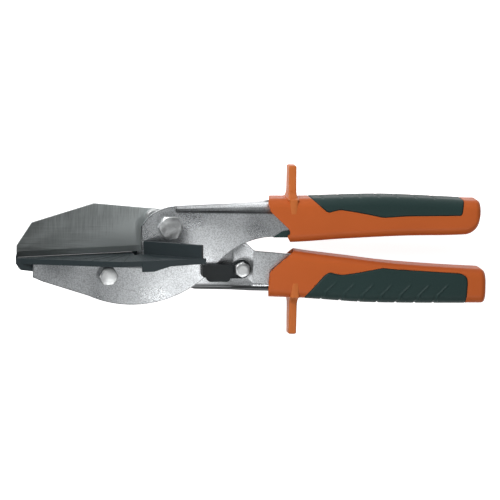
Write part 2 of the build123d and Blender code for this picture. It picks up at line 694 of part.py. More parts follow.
def latch_spacers(lever):
    """A sleeve on each side, from the sloping cheek out to the latch and to the screw's head."""
    sleeves = []
    for side, high in ((1, latch_back - FACE_GAP), (-1, outer_face)):
        sleeve = rod(latch_x, -LATCH_Y, LATCH_SPACER_DIAMETER / 2, 0, high)
        sleeve = sleeve - rod(latch_x, -LATCH_Y, LATCH_SHANK / 2 + SEAT_GAP, -OVERRUN, high + OVERRUN)
        if side < 0:
            sleeve = mirror(sleeve, about=Plane.XY)
        pieces = (sleeve - lever).solids()
        sleeves.append(max(pieces, key=lambda piece: side * piece.center().Z))
    return Compound(sleeves)


def latch_screw():
    """The screw that the latch turns on, its head on the far side."""
    x, y = latch_x, -LATCH_Y
    head = far_side(hexagon(x, y, LATCH_FLATS, outer_face, LATCH_HEAD, turn=HEX_POINT_TURN))
    end = latch_front + FACE_GAP + LATCH_NUT + SHANK_PROUD / 2
    return head + rod(x, y, LATCH_SHANK / 2, -outer_face, end)


def latch_nut():
    """The latch's nut, on the near side, corners up and down."""
    low = latch_front + FACE_GAP
    bore = LATCH_SHANK / 2 + SEAT_GAP
    return hexagon(latch_x, -LATCH_Y, LATCH_FLATS, low, LATCH_NUT, turn=HEX_POINT_TURN, bore=bore)


def latch_lever():
    """The moulded latch: a round lobe on its screw, a bar, a block and the thumb pad under it."""
    x, y = latch_x, -LATCH_Y
    left = x - LATCH_LENGTH
    right = left + LATCH_BLOCK_LENGTH
    top = y + LATCH_BLOCK_TOP
    low = y - LATCH_BLOCK_BOTTOM
    front = latch_front + LATCH_BLOCK_EXTRA
    arm = block(right - OVERRUN, x, y - LATCH_LOBE_RADIUS, top, latch_back, latch_front)
    lobe = rod(x, y, LATCH_LOBE_RADIUS, latch_back, latch_front)
    body = block(left, right, low, top, latch_back, front)
    body = fillet(body.edges().filter_by(Axis.Z), LATCH_BLOCK_ROUND)
    pad_right = right - LATCH_BLOCK_ROUND
    pad = block(left + LATCH_PAD, pad_right, low - LATCH_PAD, low + LATCH_PAD, latch_back, front)
    pad = fillet(pad.edges().filter_by(Axis.Z).group_by(Axis.Y)[0], LATCH_PAD_ROUND)
    latch = arm + lobe + body + pad
    return latch - rod(x, y, LATCH_SHANK / 2 + BORE_GAP, latch_back - OVERRUN, front + OVERRUN)


def spring_radius():
    """The radius of the spring's coil, at the middle of its wire."""
    return PIVOT_SHANK / 2 + SPRING_BORE_GAP + WIRE / 2


def spring_turns():
    """Turns of wire from the upper leg's start round to the lower leg's."""
    return SPRING_COILS + (180 + SPRING_LOWER_ANGLE - SPRING_UPPER_ANGLE) / 360


def spring_climb():
    """How far the coil climbs along the pivot, from one leg to the other."""
    return cheek_inside - inner_face - WIRE - 2 * SPRING_SIDE_GAP


def spring_coil():
    """Points of the coil with the wire's direction there; each end runs level, to meet its leg."""
    first = math.radians(90 + SPRING_UPPER_ANGLE)
    turns = spring_turns()
    steps = math.ceil(turns * SPRING_SPANS)
    low = -cheek_inside + SPRING_SIDE_GAP + WIRE / 2
    points = []
    for step in range(steps + 1):
        share = step / steps
        turn = first + share * turns * math.tau
        place = Vector(math.cos(turn), math.sin(turn), 0) * spring_radius()
        place = place + Vector(0, 0, low + share * spring_climb())
        rise = 0 if step in (0, steps) else spring_climb() / (turns * math.tau * spring_radius())
        points.append((place, Vector(-math.sin(turn), math.cos(turn), rise).normalized()))
    return points


def biarc(start, start_way, end, end_way):
    """Two arcs that join two points and leave them in the directions given."""
    span = end - start
    both = start_way + end_way
    bend = 2 * (1 - start_way.dot(end_way))
    reach = (math.sqrt(span.dot(both) ** 2 + bend * span.dot(span)) - span.dot(both)) / bend
    middle = (start + start_way * reach + end - end_way * reach) * 0.5
    first = TangentArc(start, middle, tangent=start_way)
    return [first, TangentArc(middle, end, tangent=first % 1)]


def spring_tang():
    """Where the lower leg's end turns in through the far inner cheek."""
    start, along = spring_coil()[-1]
    return start + along * SPRING_LOWER_LEG


def return_spring():
    """A torsion spring round the pivot bolt, between the far cheeks, with one leg for each lever."""
    coil = spring_coil()
    start, start_way = coil[0]
    end, end_way = coil[-1]
    tang = spring_tang()
    bend_start = tang - end_way * SPRING_TANG_BEND
    bend_end = tang + Vector(0, 0, SPRING_TANG_BEND)
    path = [Line(start - start_way * SPRING_UPPER_LEG, start)]
    for (place, way), (next_place, next_way) in zip(coil, coil[1:]):
        path = path + biarc(place, way, next_place, next_way)
    path.append(Line(end, bend_start))
    path.append(TangentArc(bend_start, bend_end, tangent=end_way))
    path.append(Line(bend_end, (tang.X, tang.Y, -blade_face)))
    print("spring: least gap between its turns", round(spring_climb() / spring_turns() - WIRE, 3))
    wire = Wire(path)
    return sweep(Plane(origin=wire @ 0, z_dir=wire % 0) * Circle(WIRE / 2), path=wire)


def grip_form(start, length, top, height, sections, collar, inset):
    """A grip's solid, drawn in by an inset: rounded sections along its length, cut off at its collar."""
    width = 2 * (GRIP_HALF_WIDTH - inset)
    faces = []
    for along_share, low_share, high_share in sections:
        low = top - low_share * height + inset
        high = top - high_share * height - inset
        middle = (start + along_share * length, (low + high) / 2, 0)
        plane = Plane(origin=middle, x_dir=(0, 1, 0), z_dir=(1, 0, 0))
        faces.append(plane * RectangleRounded(high - low, width, GRIP_ROUND - inset))
    form = loft(faces)
    end = form.faces().sort_by(Axis.X)[-1]
    form = fillet(end.edges(), GRIP_END_ROUND - inset)
    keep = share_plate(start, length, top, height, collar)
    if inset > 0:
        keep = Pos(inset, 0, 0) * keep
        form = form & block(0, start + length - inset, -length, length, -width, width)
    return form & keep


def share_plate(start, length, top, height, shares, corner=0.0):
    """A plate right through a grip, from points as shares of its length and of its height down."""
    face = make_face(Polyline(*[(start + x * length, top - y * height) for x, y in shares], close=True))
    if corner > 0:
        face = fillet(face.vertices(), corner)
    return slab(face, -GRIP_HALF_WIDTH - OVERRUN, GRIP_HALF_WIDTH + OVERRUN)


def guard(root, tip, way):
    """A finger guard: a bar that stands off the grip's outer edge and narrows to a round end."""
    end = -1 if way > 0 else 0
    half = GUARD_THICK / 2
    side = make_face(Polyline((-half, root), (half, root), (half, tip), (-half, tip), close=True))
    side = fillet(side.vertices().group_by(Axis.Y)[end], GUARD_EDGE_ROUND)
    wide, narrow = GUARD_WIDTH / 2, GUARD_TIP_WIDTH / 2
    points = [(0, root, wide), (0, tip, narrow), (0, tip, -narrow), (0, root, -wide)]
    front = make_face(Polyline(*points, close=True))
    front = fillet(front.vertices().group_by(Axis.Y)[end], GUARD_TIP_ROUND)
    front = Pos(-GUARD_THICK, 0, 0) * extrude(front, amount=GUARD_THICK * 2, dir=(1, 0, 0))
    return Pos(GUARD_X, 0, 0) * (slab(side, -GUARD_WIDTH, GUARD_WIDTH) & front)


def grip(start, length, top, height, sections, collar, insert_shares, tail, way):
    """One grip: returns its hard shell and its soft insert. way is 1 where the palm side is up."""
    form = grip_form(start, length, top, height, sections, collar, 0)
    core = grip_form(start, length, top, height, sections, collar, INSERT_SKIN)
    insert = (form & share_plate(start, length, top, height, insert_shares, INSERT_CORNER)) - core - tail
    palm = top if way > 0 else top - height
    tip = palm + (GUARD_RISE if way > 0 else -GUARD_DROP)
    shell = form - insert + guard(palm - way * GUARD_ROOT, tip, way) - tail
    lift = way * GROOVE_RADIUS * GROOVE_LIFT_SHARE
    side = GRIP_HALF_WIDTH + OVERRUN
    for number in range(GROOVE_COUNT):
        x = GROOVE_START + number * GROOVE_PITCH
        band = insert & block(x - GROOVE_RADIUS, x + GROOVE_RADIUS, -length, length, -OVERRUN, OVERRUN)
        limits = band.bounding_box()
        y = limits.max.Y if way > 0 else limits.min.Y
        insert = insert - rod(x, y + lift, GROOVE_RADIUS, -side, side)
    return shell, insert


def tail_space(stations, web_end):
    """The space that a lever's tail takes inside its grip, with the web's bends; stations are x, low, high."""
    faces = []
    for x, low, high in stations:
        section = Rectangle(high - low + 2 * CAVITY_GAP, LEVER_WIDTH + 2 * CAVITY_GAP)
        section = fillet(section.vertices().group_by(Axis.X)[web_end], BEND_RADIUS)
        faces.append(Plane(origin=(x, (low + high) / 2, 0), x_dir=(0, 1, 0), z_dir=(1, 0, 0)) * section)
    return loft([face.face() for face in faces], ruled=True)


def upper_grip():
    """The upper grip, over the jaw lever's tail."""
    size = (GRIP_START, UPPER_GRIP_LENGTH, UPPER_GRIP_TOP, UPPER_GRIP_HEIGHT)
    neck_x, neck_y = at_shares(NECK_END_SHARES, JAW_REACH, JAW_DEPTH)
    stations = [
        (GRIP_START - OVERRUN, neck_y, JAW_COLLAR_TOP),
        (neck_x, neck_y, JAW_COLLAR_TOP),
        (TAIL_REACH + CAVITY_GAP, JAW_TAIL_TOP - JAW_TAIL_HEIGHT, JAW_TAIL_TOP),
    ]
    tail = tail_space(stations, -1)
    return grip(*size, UPPER_SECTION_SHARES, UPPER_COLLAR_SHARES, UPPER_INSERT_SHARES, tail, 1)


def lower_grip():
    """The lower grip, over the blade lever's tail."""
    size = (GRIP_START, LOWER_GRIP_LENGTH, -LOWER_GRIP_TOP, LOWER_GRIP_HEIGHT)
    step_x, step_y = at_shares(ARM_TOP_SHARES[-2], arm_wide_start, -ARM_TOP)
    collar_x, collar_y = at_shares(ARM_TOP_SHARES[-1], arm_wide_start, -ARM_TOP)
    tail_low = arm_bottom_line(TAIL_REACH)
    stations = [
        (step_x, arm_bottom_line(step_x), step_y),
        (collar_x, arm_bottom_line(collar_x), collar_y),
        (TAIL_REACH + CAVITY_GAP, tail_low, tail_low + ARM_TAIL_HEIGHT),
    ]
    tail = tail_space(stations, 0)
    return grip(*size, LOWER_SECTION_SHARES, LOWER_COLLAR_SHARES, LOWER_INSERT_SHARES, tail, -1)


def move_to_frame(pieces):
    """Puts the origin at the bottom centre of the whole tool's box."""
    box = Compound([Compound(piece.solids()) for piece in pieces.values()]).bounding_box()
    middle = box.center()
    shift = Vector(-middle.X, -middle.Y, -box.min.Z)
    print("pivot axis at", round(shift.X, 3), round(shift.Y, 3), "blade's middle at Z", round(shift.Z, 3))
    print("box", [round(value, 2) for value in (box.size.X, box.size.Y, box.size.Z)])
    return {name: Pos(shift.X, shift.Y, shift.Z) * piece for name, piece in pieces.items()}


def main():
    """Builds every piece and writes each to its own file."""
    lever = blade_lever()
    upper_shell, upper_insert = upper_grip()
    lower_shell, lower_insert = lower_grip()
    pieces = {
        "jaw_lever": jaw_lever(),
        "anvil_body": anvil_body(),
        "cutting_strip": cutting_strip(),
        "near_fence": fence(1),
        "far_fence": fence(-1),
        "fence_screws": fence_screws(),
        "anvil_bolt": anvil_bolt(),
        "anvil_nut": anvil_nut(),
        "pivot_bolt": pivot_bolt(),
        "pivot_washer": pivot_washer(),
        "pivot_nut": pivot_nut(),
        "pivot_spacer": pivot_spacer(),
        "blade_lever": lever,
        "blade": blade(),
        "blade_screw": blade_screw(),
        "blade_nut": blade_nut(),
        "latch_spacers": latch_spacers(lever),
        "latch_screw": latch_screw(),
        "latch_nut": latch_nut(),
        "latch_lever": latch_lever(),
        "return_spring": return_spring(),
        "upper_grip_shell": upper_shell,
        "upper_grip_insert": upper_insert,
        "lower_grip_shell": lower_shell,
        "lower_grip_insert": lower_insert,
    }
    os.makedirs("parts", exist_ok=True)
    for name, piece in move_to_frame(pieces).items():
        export_step(piece, f"parts/{name}.step")


main()
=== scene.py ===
import json
import math

import bmesh
import bpy
import numpy as np
from bpy.props import FloatProperty, FloatVectorProperty, IntProperty, PointerProperty
from mathutils import Matrix, Vector

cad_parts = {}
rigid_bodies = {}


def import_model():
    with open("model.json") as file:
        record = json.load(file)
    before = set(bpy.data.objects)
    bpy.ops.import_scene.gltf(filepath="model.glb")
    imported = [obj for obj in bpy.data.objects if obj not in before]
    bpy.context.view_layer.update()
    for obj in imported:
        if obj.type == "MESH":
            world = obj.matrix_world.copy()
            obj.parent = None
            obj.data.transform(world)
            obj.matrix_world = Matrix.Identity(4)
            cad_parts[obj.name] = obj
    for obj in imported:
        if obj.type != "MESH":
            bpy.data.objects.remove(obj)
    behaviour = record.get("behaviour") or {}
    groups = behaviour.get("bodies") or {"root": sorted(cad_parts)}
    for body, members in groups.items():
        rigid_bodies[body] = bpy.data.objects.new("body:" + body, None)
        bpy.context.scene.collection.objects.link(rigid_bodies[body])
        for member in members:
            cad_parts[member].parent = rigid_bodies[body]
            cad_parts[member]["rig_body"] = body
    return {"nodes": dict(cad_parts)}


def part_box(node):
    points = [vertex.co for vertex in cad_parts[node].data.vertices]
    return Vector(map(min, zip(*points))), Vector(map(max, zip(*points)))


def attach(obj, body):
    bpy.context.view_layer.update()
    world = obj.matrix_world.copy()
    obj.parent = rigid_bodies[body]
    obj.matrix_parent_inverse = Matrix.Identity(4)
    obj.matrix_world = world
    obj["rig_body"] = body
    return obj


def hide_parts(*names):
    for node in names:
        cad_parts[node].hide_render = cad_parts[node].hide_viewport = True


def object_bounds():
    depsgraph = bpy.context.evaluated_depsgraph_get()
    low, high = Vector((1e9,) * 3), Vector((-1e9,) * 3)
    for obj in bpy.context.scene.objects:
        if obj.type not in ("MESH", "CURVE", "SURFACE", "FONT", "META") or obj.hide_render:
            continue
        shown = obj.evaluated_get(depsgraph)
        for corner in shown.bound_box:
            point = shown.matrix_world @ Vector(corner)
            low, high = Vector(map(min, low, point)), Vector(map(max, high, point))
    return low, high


bl_info = {
    "name": "Mitre shears",
    "version": (1, 0, 0),
    "blender": (4, 5, 0),
    "location": "View3D > Sidebar > Shears",
    "description": "Dresses the packed mitre shears with finished surfaces and materials",
    "category": "Object",
}

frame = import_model()
cad_low, cad_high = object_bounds()

# Lengths are millimetres from the pivot's axis and the blade's middle, as a bench drawing gives them.
MM = 0.001
bolt_low, bolt_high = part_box("pivot_bolt")
blade_low, blade_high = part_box("blade")
PIVOT = np.array(
    [(bolt_low.x + bolt_high.x) / 2, (bolt_low.y + bolt_high.y) / 2, (blade_low.z + blade_high.z) / 2]
)

# Where the photograph was taken from: lean of the line of sight along X and Y for each unit of Z
CAMERA_LEAN_X = -0.16
CAMERA_LEAN_Y = 0.127
CAMERA_AIM = (49.6, -14.8, 0.0)
CAMERA_LENS = 900.0
CAMERA_FIELD = 296.2  # width of the picture at the tool

# Lamps: name, place, the point it faces, its two sides and its watts. The plate box stands where the flat
# near faces mirror the camera, over the belly's tail.
LAMPS = (
    ("plate_box", (45.4, -64.13, 190.0), (15.0, -40.0, 0.0), (52.0, 46.0), 0.022),
    ("back_box", (60.0, 520.0, 210.0), (60.0, 0.0, 0.0), (560.0, 330.0), 0.55),
    ("left_box", (-321.0, -95.0, 468.0), (45.0, -20.0, 0.0), (220.0, 220.0), 0.22),
    ("key_box", (-420.0, 620.0, 760.0), (20.0, 0.0, 0.0), (420.0, 420.0), 8.0),
    ("fill_box", (160.0, -520.0, 700.0), (60.0, 0.0, 0.0), (700.0, 170.0), 2.1),
)
FLOOR_HALF = 3.0  # metres
FLOOR_GAP = 0.0002  # metres, between the floor and the tool's lowest point
CLIP_END = 20.0  # metres, beyond the camera's own distance
WHITE = (1.0, 1.0, 1.0, 1.0)
CEILING = (0.13, 0.134, 0.138)
HORIZON = 0.03  # reflections below this height see the white backdrop
FLOOR_GLOW = 0.83

# Grips. The lines are shares of the length behind the start and of the height below the top.
UPPER_GRIP = {
    "side": "upper",
    "body": "jaw_side",
    "palm": 1,  # which way along Y the palm faces
    "start": 60.0,
    "length": 128.6,  # what the shares follow
    "reach": 126.4,  # where the grip ends
    "top": 17.0,
    "height": 26.0,
    "end_radii": (3.0, 9.5, 3.5),  # on the top, the underside and the sides
    "groove_reach": 9.0,  # round from the palm's middle
    "guard_x": 73.6,
    "guard_tip": 36.0,
    "top_line": (
        (-0.06, 0.0), (0.19, 0.0), (0.35, -0.025), (0.51, -0.04), (0.67, -0.018), (0.82, 0.018),
        (0.93, 0.042), (1.01, 0.038),
    ),
    "low_line": (
        (-0.06, 1.02), (0.13, 1.0), (0.32, 0.935), (0.53, 0.88), (0.65, 0.858), (0.84, 0.846), (0.92, 0.83),
        (1.01, 0.80),
    ),
    # Height first: the collar's front is given down its side
    "collar": (
        (-0.2, 0.002), (0.10, 0.002), (0.29, 0.014), (0.71, 0.104), (0.80, 0.107), (0.90, 0.095),
        (0.98, 0.104), (1.3, 0.11),
    ),
    "insert": (
        (0.150, -0.40), (0.178, -0.05), (0.258, 0.292), (0.272, 0.315), (0.321, 0.25), (0.348, 0.269),
        (0.417, 0.323), (0.516, 0.423), (0.531, 0.431), (0.631, 0.396), (0.893, 0.385), (0.904, 0.008),
        (0.912, -0.40),
    ),
}
LOWER_GRIP = {
    "side": "lower",
    "body": "blade_side",
    "palm": -1,
    "start": 60.0,
    "length": 131.0,
    "reach": 130.3,
    "top": -14.4,
    "height": 31.0,
    "end_radii": (4.0, 2.4, 3.5),
    "groove_reach": 22.0,
    "guard_x": 75.3,
    "guard_tip": -64.5,
    "top_line": (
        (-0.06, -0.05), (0.12, 0.0), (0.185, 0.04), (0.36, 0.13), (0.52, 0.215), (0.765, 0.297),
        (0.885, 0.326), (1.01, 0.35),
    ),
    "low_line": (
        (-0.06, 0.865), (0.0, 0.88), (0.09, 0.893), (0.185, 0.91), (0.43, 0.98), (0.60, 0.995), (0.92, 1.0),
        (1.01, 1.0),
    ),
    "collar": ((-0.2, 0.148), (0.003, 0.119), (0.38, 0.020), (0.42, 0.015), (0.85, 0.008), (1.3, 0.006)),
    "insert": (
        (0.14, 1.30), (0.163, 0.86), (0.253, 0.435), (0.272, 0.393), (0.328, 0.445), (0.363, 0.426),
        (0.409, 0.397), (0.501, 0.323), (0.521, 0.31), (0.559, 0.329), (0.876, 0.416), (0.90, 0.464),
        (0.909, 0.555), (0.907, 0.79), (0.896, 1.30),
    ),
}
SECTION_CORNER_POINTS = 15
SECTION_FLAT_POINTS = 14
GRIP_STATIONS = 230
GRIP_LEAD = 4.0  # the surface starts this far before the collar, which is cut out of it
GRIP_CROWDING = 1.25  # the stations crowd towards the end by this power
GRIP_CORNER_SHARE = 0.94  # most of a section's half width or half height that its corners may take
GRIP_CROWN = 0.35  # how far the side faces swell between their edges
INSERT_CORNER = 1.6
INSERT_GAP = 0.12
INSERT_ROUND = 0.8  # width of the insert's rounded border
INSERT_SINK = 0.45  # and how far the border falls
COLLAR_WALL = 2.2
COLLAR_RIM = 0.25
RIM_ANGLE = 50.0
PALM_PULL = 0.2  # the palm's middle line: height, less this share of the distance from the middle
INSERT_WALL = 1.6
GROOVE_START = 90.8
GROOVE_PITCH = 11.2
GROOVE_COUNT = 7
GROOVE_HALF = 0.75
GROOVE_LEAN = 0.10  # how far a groove runs back for each unit round from the palm's middle
GROOVE_SLOPE = 0.9  # how much further it runs back on the side, beyond GROOVE_TURN
GROOVE_TURN = 15.0
GROOVE_SIDE = (8.0, 14.0)  # over this distance round, a groove takes its shape on the side
GROOVE_FADE = 2.0
GROOVE_FULLNESS = 0.75  # power of its section: 0.5 is an ellipse, and 1 a parabola
GROOVE_LIP = 0.5  # how far the back edge of a groove stands up on the side
GROOVE_LIP_BACK = 1.9  # the lip's middle behind the groove's, in half widths
GROOVE_SIDE_SHARE = 0.2  # of a groove's depth that is left on the side
GUARD_ROWS = 46
GUARD_RING = 44
GUARD_HALF_THICK = 2.4
GUARD_FLARE = 1.3
GUARD_FLARE_FADE = 1.7
GUARD_SUNK = 9.0  # how far below the palm a guard still shows as a rib on the grip's side
GUARD_PROUD = 0.35  # of the grip's side, where it sinks in, and of its own flare
GUARD_SHOULDER = 1.0  # how far below the palm the rib ends and the flare begins
GUARD_ROOT_RISE = 3.0  # over which the guard narrows to its free width
GUARD_CROWDING = 1.6  # the rows crowd towards the tip by this power
GUARD_TIP_ROUND = 0.9
GUARD_TIP_DRAW = 1.2  # how far the tip draws in at the sides
GUARD_SQUARENESS = 0.30  # power of its section: 1 is an ellipse, and 0 a rectangle
GUARD_ROOT_SHARE = 0.72  # of the grip's half width
GUARD_HALF_WIDTHS = (6.0, 5.0)  # beyond the root and at the tip
LOWER_PALM_SHARE = 0.9  # of the lower grip's height, where its guard starts

# Levers, anvil and latch
ANVIL_BOLT = (-36.5, -29.1)
# A dark wedge in the soft insert's finish, between the jaw lever's lower edge and the upper collar: partly a
# soft lining, partly painted shadow in that gap
COLLAR_LINING_AND_SHADOW = ((61.6, -6.2), (67.3, -2.6), (73.5, -1.6), (73.5, -6.2))
COLLAR_LINING_AND_SHADOW_HALF = 9.3
COLLAR_LINING_AND_SHADOW_ROUND = 0.8
MARK_ROOT = (-21.2, 0.0)  # where the angle marks would meet, in the plan of the table
# Each mark's angle from the blade, and where it ends
MARK_ENDS = ((75.0, 37.8), (60.0, 38.0), (45.0, 39.0), (30.0, 43.0))
MARK_START = 8.5
MARK_RISE = 0.10
MARK_SUNK = 0.05
CHEEK_TOP = (
    (-16.8, 0.2), (-14.6, 3.6), (-11.7, 6.5), (-7.9, 9.1), (-4.5, 10.6), (-0.9, 11.7), (2.0, 12.1),
    (5.5, 12.3),
)
CHEEK_FACE = 8.5
CHEEK_FRONT = -70.0  # points in front of this belong to the cheeks' front ends
CHEEK_CURVE_ABOVE = 5.0  # the curve moves only points above this and in front of the rolled web
WEB_START = 3.7
ARM_OPEN_EDGE = (36.0, -24.0)  # its points lie behind this distance and above this height
# Painted shade on the levers: a direction and the distances along it where the back of each rolled fold turns
# dark
JAW_FOLD_SHADE = ((-0.0257, 1.0, 0.0), 12.8, 13.0)
BLADE_FOLD_SHADE = ((-0.0175, -1.0, 0.0), 33.6, 34.8)
EDGE_SHADE_RADIUS = 0.9  # how far from a sheared edge the line of painted shade reaches
TABLE_AT_PIVOT = -15.71  # height of the table's line under the pivot
TABLE_RISE = 0.0384
LEDGE_FRONT = -45.0
LEDGE_BACK = -21.0
LEDGE_BELOW = 3.6
LEDGE_HALF = 22.0
NOSE_BACK = -89.0

# How far an edge is rounded, and from what angle on the ground blade
WEAR_WIDTH = 0.12
SHEET_WEAR = 0.3
MOULDED_WEAR = 0.3
LATCH_WEAR = 0.45
BLADE_WEAR = 0.08
BLADE_SHARP = 8.0
STRIP_WEAR = 0.1
SAME_PLACE = 2e-6  # metres
SAME_PLANE = 0.6  # degrees


def linear(code):
    """The linear red, green and blue of an sRGB hex colour."""
    parts = [int(code[i : i + 2], 16) / 255 for i in (1, 3, 5)]
    return tuple(part / 12.92 if part <= 0.04045 else ((part + 0.055) / 1.055) ** 2.4 for part in parts)


def to_frame(points):
    """Bench millimetres to metres in the tool's frame."""
    return np.asarray(points, float)[:, :3] * MM + PIVOT


def smooth_line(x, table):
    """A curve through a table of x and y: cubic between its points, each slope the mean of its
    neighbours'."""
    knots, values = np.array(table, float).T
    slopes = np.diff(values) / np.diff(knots)
    ends = np.concatenate([slopes[:1], (slopes[:-1] + slopes[1:]) / 2, slopes[-1:]])
    x = np.clip(x, knots[0], knots[-1])
    cell = np.clip(np.searchsorted(knots, x) - 1, 0, len(knots) - 2)
    width = knots[cell + 1] - knots[cell]
    t = (x - knots[cell]) / width
    near, far = values[cell], values[cell + 1]
    return (
        near * (2 * t**3 - 3 * t**2 + 1)
        + far * (3 * t**2 - 2 * t**3)
        + ends[cell] * width * (t**3 - 2 * t**2 + t)
        + ends[cell + 1] * width * (t**3 - t**2)
    )


def smooth_step(x, start, end):
    """0 before start and 1 after end, with level ends."""
    t = np.clip((x - start) / (end - start), 0, 1)
    return t * t * (3 - 2 * t)


def rounded_outline(points, radius, steps=5):
    """A closed outline with each corner cut by an arc that starts the same distance on both sides of it."""
    points = np.array(points, float)
    before, after = np.roll(points, 1, axis=0) - points, np.roll(points, -1, axis=0) - points
    size_before, size_after = np.linalg.norm(before, axis=1), np.linalg.norm(after, axis=1)
    reach = np.minimum(radius, 0.45 * np.minimum(size_before, size_after))[:, None]
    start = points + before / size_before[:, None] * reach
    end = points + after / size_after[:, None] * reach
    t = np.linspace(0, 1, steps)[None, :, None]
    curve = start[:, None] * (1 - t) ** 2 + 2 * points[:, None] * t * (1 - t) + end[:, None] * t**2
    return curve.reshape(-1, 2)


def inside_distance(x, y, outline):
    """How far points lie inside a closed outline, negative outside: the least distance to its edges."""
    start, end = outline, np.roll(outline, -1, axis=0)
    edge = end - start
    across = x[:, None] - start[None, :, 0]
    up = y[:, None] - start[None, :, 1]
    share = (across * edge[:, 0] + up * edge[:, 1]) / np.maximum((edge**2).sum(1), 1e-12)
    share = np.clip(share, 0, 1)
    distance = np.hypot(across - share * edge[:, 0], up - share * edge[:, 1]).min(axis=1)
    crosses = (start[None, :, 1] > y[:, None]) != (end[None, :, 1] > y[:, None])
    with np.errstate(divide="ignore", invalid="ignore"):
        at = start[None, :, 0] + (y[:, None] - start[None, :, 1]) * edge[:, 0] / edge[:, 1]
    inside = (crosses & (x[:, None] < at)).sum(axis=1) % 2 == 1
    return np.where(inside, distance, -distance)


def grid_quads(rows, columns, closed=True):
    """Faces of a grid of points, row after row; a closed grid joins its last column to its first."""
    row, column = np.meshgrid(
        np.arange(rows - 1), np.arange(columns if closed else columns - 1), indexing="ij"
    )
    here = (row * columns + column).ravel()
    beside = (row * columns + (column + 1) % columns).ravel()
    return np.stack([here, beside, beside + columns, here + columns], axis=1)


def halves(quads):
    """Each quad as two triangles."""
    return np.concatenate([quads[:, [0, 1, 2]], quads[:, [0, 2, 3]]])


def clip(points, triangles, field):
    """Keeps the part of a mesh where a field is positive; cut edges end where the field, taken as linear, is
    zero."""
    inside = field > 0
    count = inside[triangles].sum(axis=1)
    kept = [triangles[count == 3]]
    fresh, fresh_count = [points], len(points)
    for inner in (1, 2):
        some = triangles[count == inner]
        if not len(some):
            continue
        lone = np.argmax(inside[some] == (inner == 1), axis=1)
        order = (lone[:, None] + np.arange(3)) % 3
        some = np.take_along_axis(some, order, axis=1)
        edges = np.concatenate([some[:, [0, 1]], some[:, [0, 2]]])
        unique, back = np.unique(np.sort(edges, axis=1), axis=0, return_inverse=True)
        back = back.ravel()
        first, second = field[unique[:, 0]], field[unique[:, 1]]
        share = (first / (first - second))[:, None]
        fresh.append(points[unique[:, 0]] * (1 - share) + points[unique[:, 1]] * share)
        cut_one = fresh_count + back[: len(some)]
        cut_two = fresh_count + back[len(some) :]
        fresh_count += len(unique)
        if inner == 1:
            kept.append(np.stack([some[:, 0], cut_one, cut_two], axis=1))
        else:
            kept.append(np.stack([cut_one, some[:, 1], some[:, 2]], axis=1))
            kept.append(np.stack([cut_one, some[:, 2], cut_two], axis=1))
    points = np.concatenate(fresh)
    triangles = np.concatenate(kept)
    used, back = np.unique(triangles, return_inverse=True)
    return points[used], back.reshape(-1, 3)


def add_object(name, data):
    """An object with its data, linked into the scene."""
    thing = bpy.data.objects.new(name, data)
    bpy.context.scene.collection.objects.link(thing)
    return thing


def new_piece(name, points, faces, body, kind, replaces=(), sharp=35.0):
    """An object from bench points and faces, with its finish, that rides on a body."""
    mesh = bpy.data.meshes.new(name)
    mesh.from_pydata(to_frame(points).tolist(), [], [list(map(int, face)) for face in faces])
    piece = add_object(name, mesh)
    dress(piece, body, kind, replaces, sharp)
    return piece


def dress(piece, body, kind, replaces, sharp):
    """Gives a piece its finish, smooth shading up to an angle, and its body."""
    piece.data.materials.clear()
    piece.data.materials.append(finish_of(kind))
    piece.data.shade_smooth()
    piece.data.set_sharp_from_angle(angle=math.radians(sharp))
    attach(piece, body)
    if replaces:
        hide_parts(*replaces)


def round_edges(piece, name, width, angle):
    """A small bevel on the edges that turn by more than an angle."""
    bevel = piece.modifiers.new(name, "BEVEL")
    bevel.width = width * MM
    bevel.segments = 2
    bevel.limit_method = "ANGLE"
    bevel.angle_limit = math.radians(angle)
    return bevel


def worn_copy(node, name, kind, wear=WEAR_WIDTH, sharp=32.0, reshape=None):
    """A merged copy of a CAD node, its flat faces joined and its edges rounded by a small bevel. A reshape
    function may move its points, as an array of bench millimetres, before the flat faces are joined."""
    source = frame["nodes"][node]
    mesh = source.data.copy()
    mesh.name = name
    if reshape is not None:
        places = np.empty(len(mesh.vertices) * 3)
        mesh.vertices.foreach_get("co", places)
        moved = reshape((places.reshape(-1, 3) - PIVOT) / MM)
        mesh.vertices.foreach_set("co", to_frame(moved).ravel())
    work = bmesh.new()
    work.from_mesh(mesh)
    bmesh.ops.remove_doubles(work, verts=work.verts, dist=SAME_PLACE)
    bmesh.ops.dissolve_limit(work, angle_limit=math.radians(SAME_PLANE), verts=work.verts, edges=work.edges)
    work.to_mesh(mesh)
    work.free()
    piece = add_object(name, mesh)
    dress(piece, source["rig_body"], kind, (node,), sharp)
    if wear > 0:
        round_edges(piece, "edge wear", wear, sharp).harden_normals = True
    return piece


def cut_cheeks(points):
    """The jaw lever's cheeks, cut to their own curve in front of the rolled web. The curve is the height that
    a cheek may have at each distance from the pivot. The far cheek is cut lower and further back than the
    near one by what the line of sight leans between them."""
    x, y, z = points.T
    apart = np.where(z < 0, 2 * CHEEK_FACE, 0.0)
    top = smooth_line(x + CAMERA_LEAN_X * apart, CHEEK_TOP) - CAMERA_LEAN_Y * apart
    front = (x < WEB_START) & (y > CHEEK_CURVE_ABOVE)
    y = np.where(front, np.minimum(y, top), y)
    foremost = x.min() - CAMERA_LEAN_X * apart
    x = np.where(x < CHEEK_FRONT, np.maximum(x, foremost), x)
    return np.stack([x, y, z], axis=1)


def cut_arm(points):
    """The blade lever's far cheek, cut lower along its open edge, by as much as the line of sight leans."""
    x, y, z = points.T
    far_edge = (z < 0) & (x > ARM_OPEN_EDGE[0]) & (y > ARM_OPEN_EDGE[1])
    drop = np.where(far_edge, 2 * CAMERA_LEAN_Y * np.abs(z), 0.0)
    return np.stack([x, y - drop, z], axis=1)


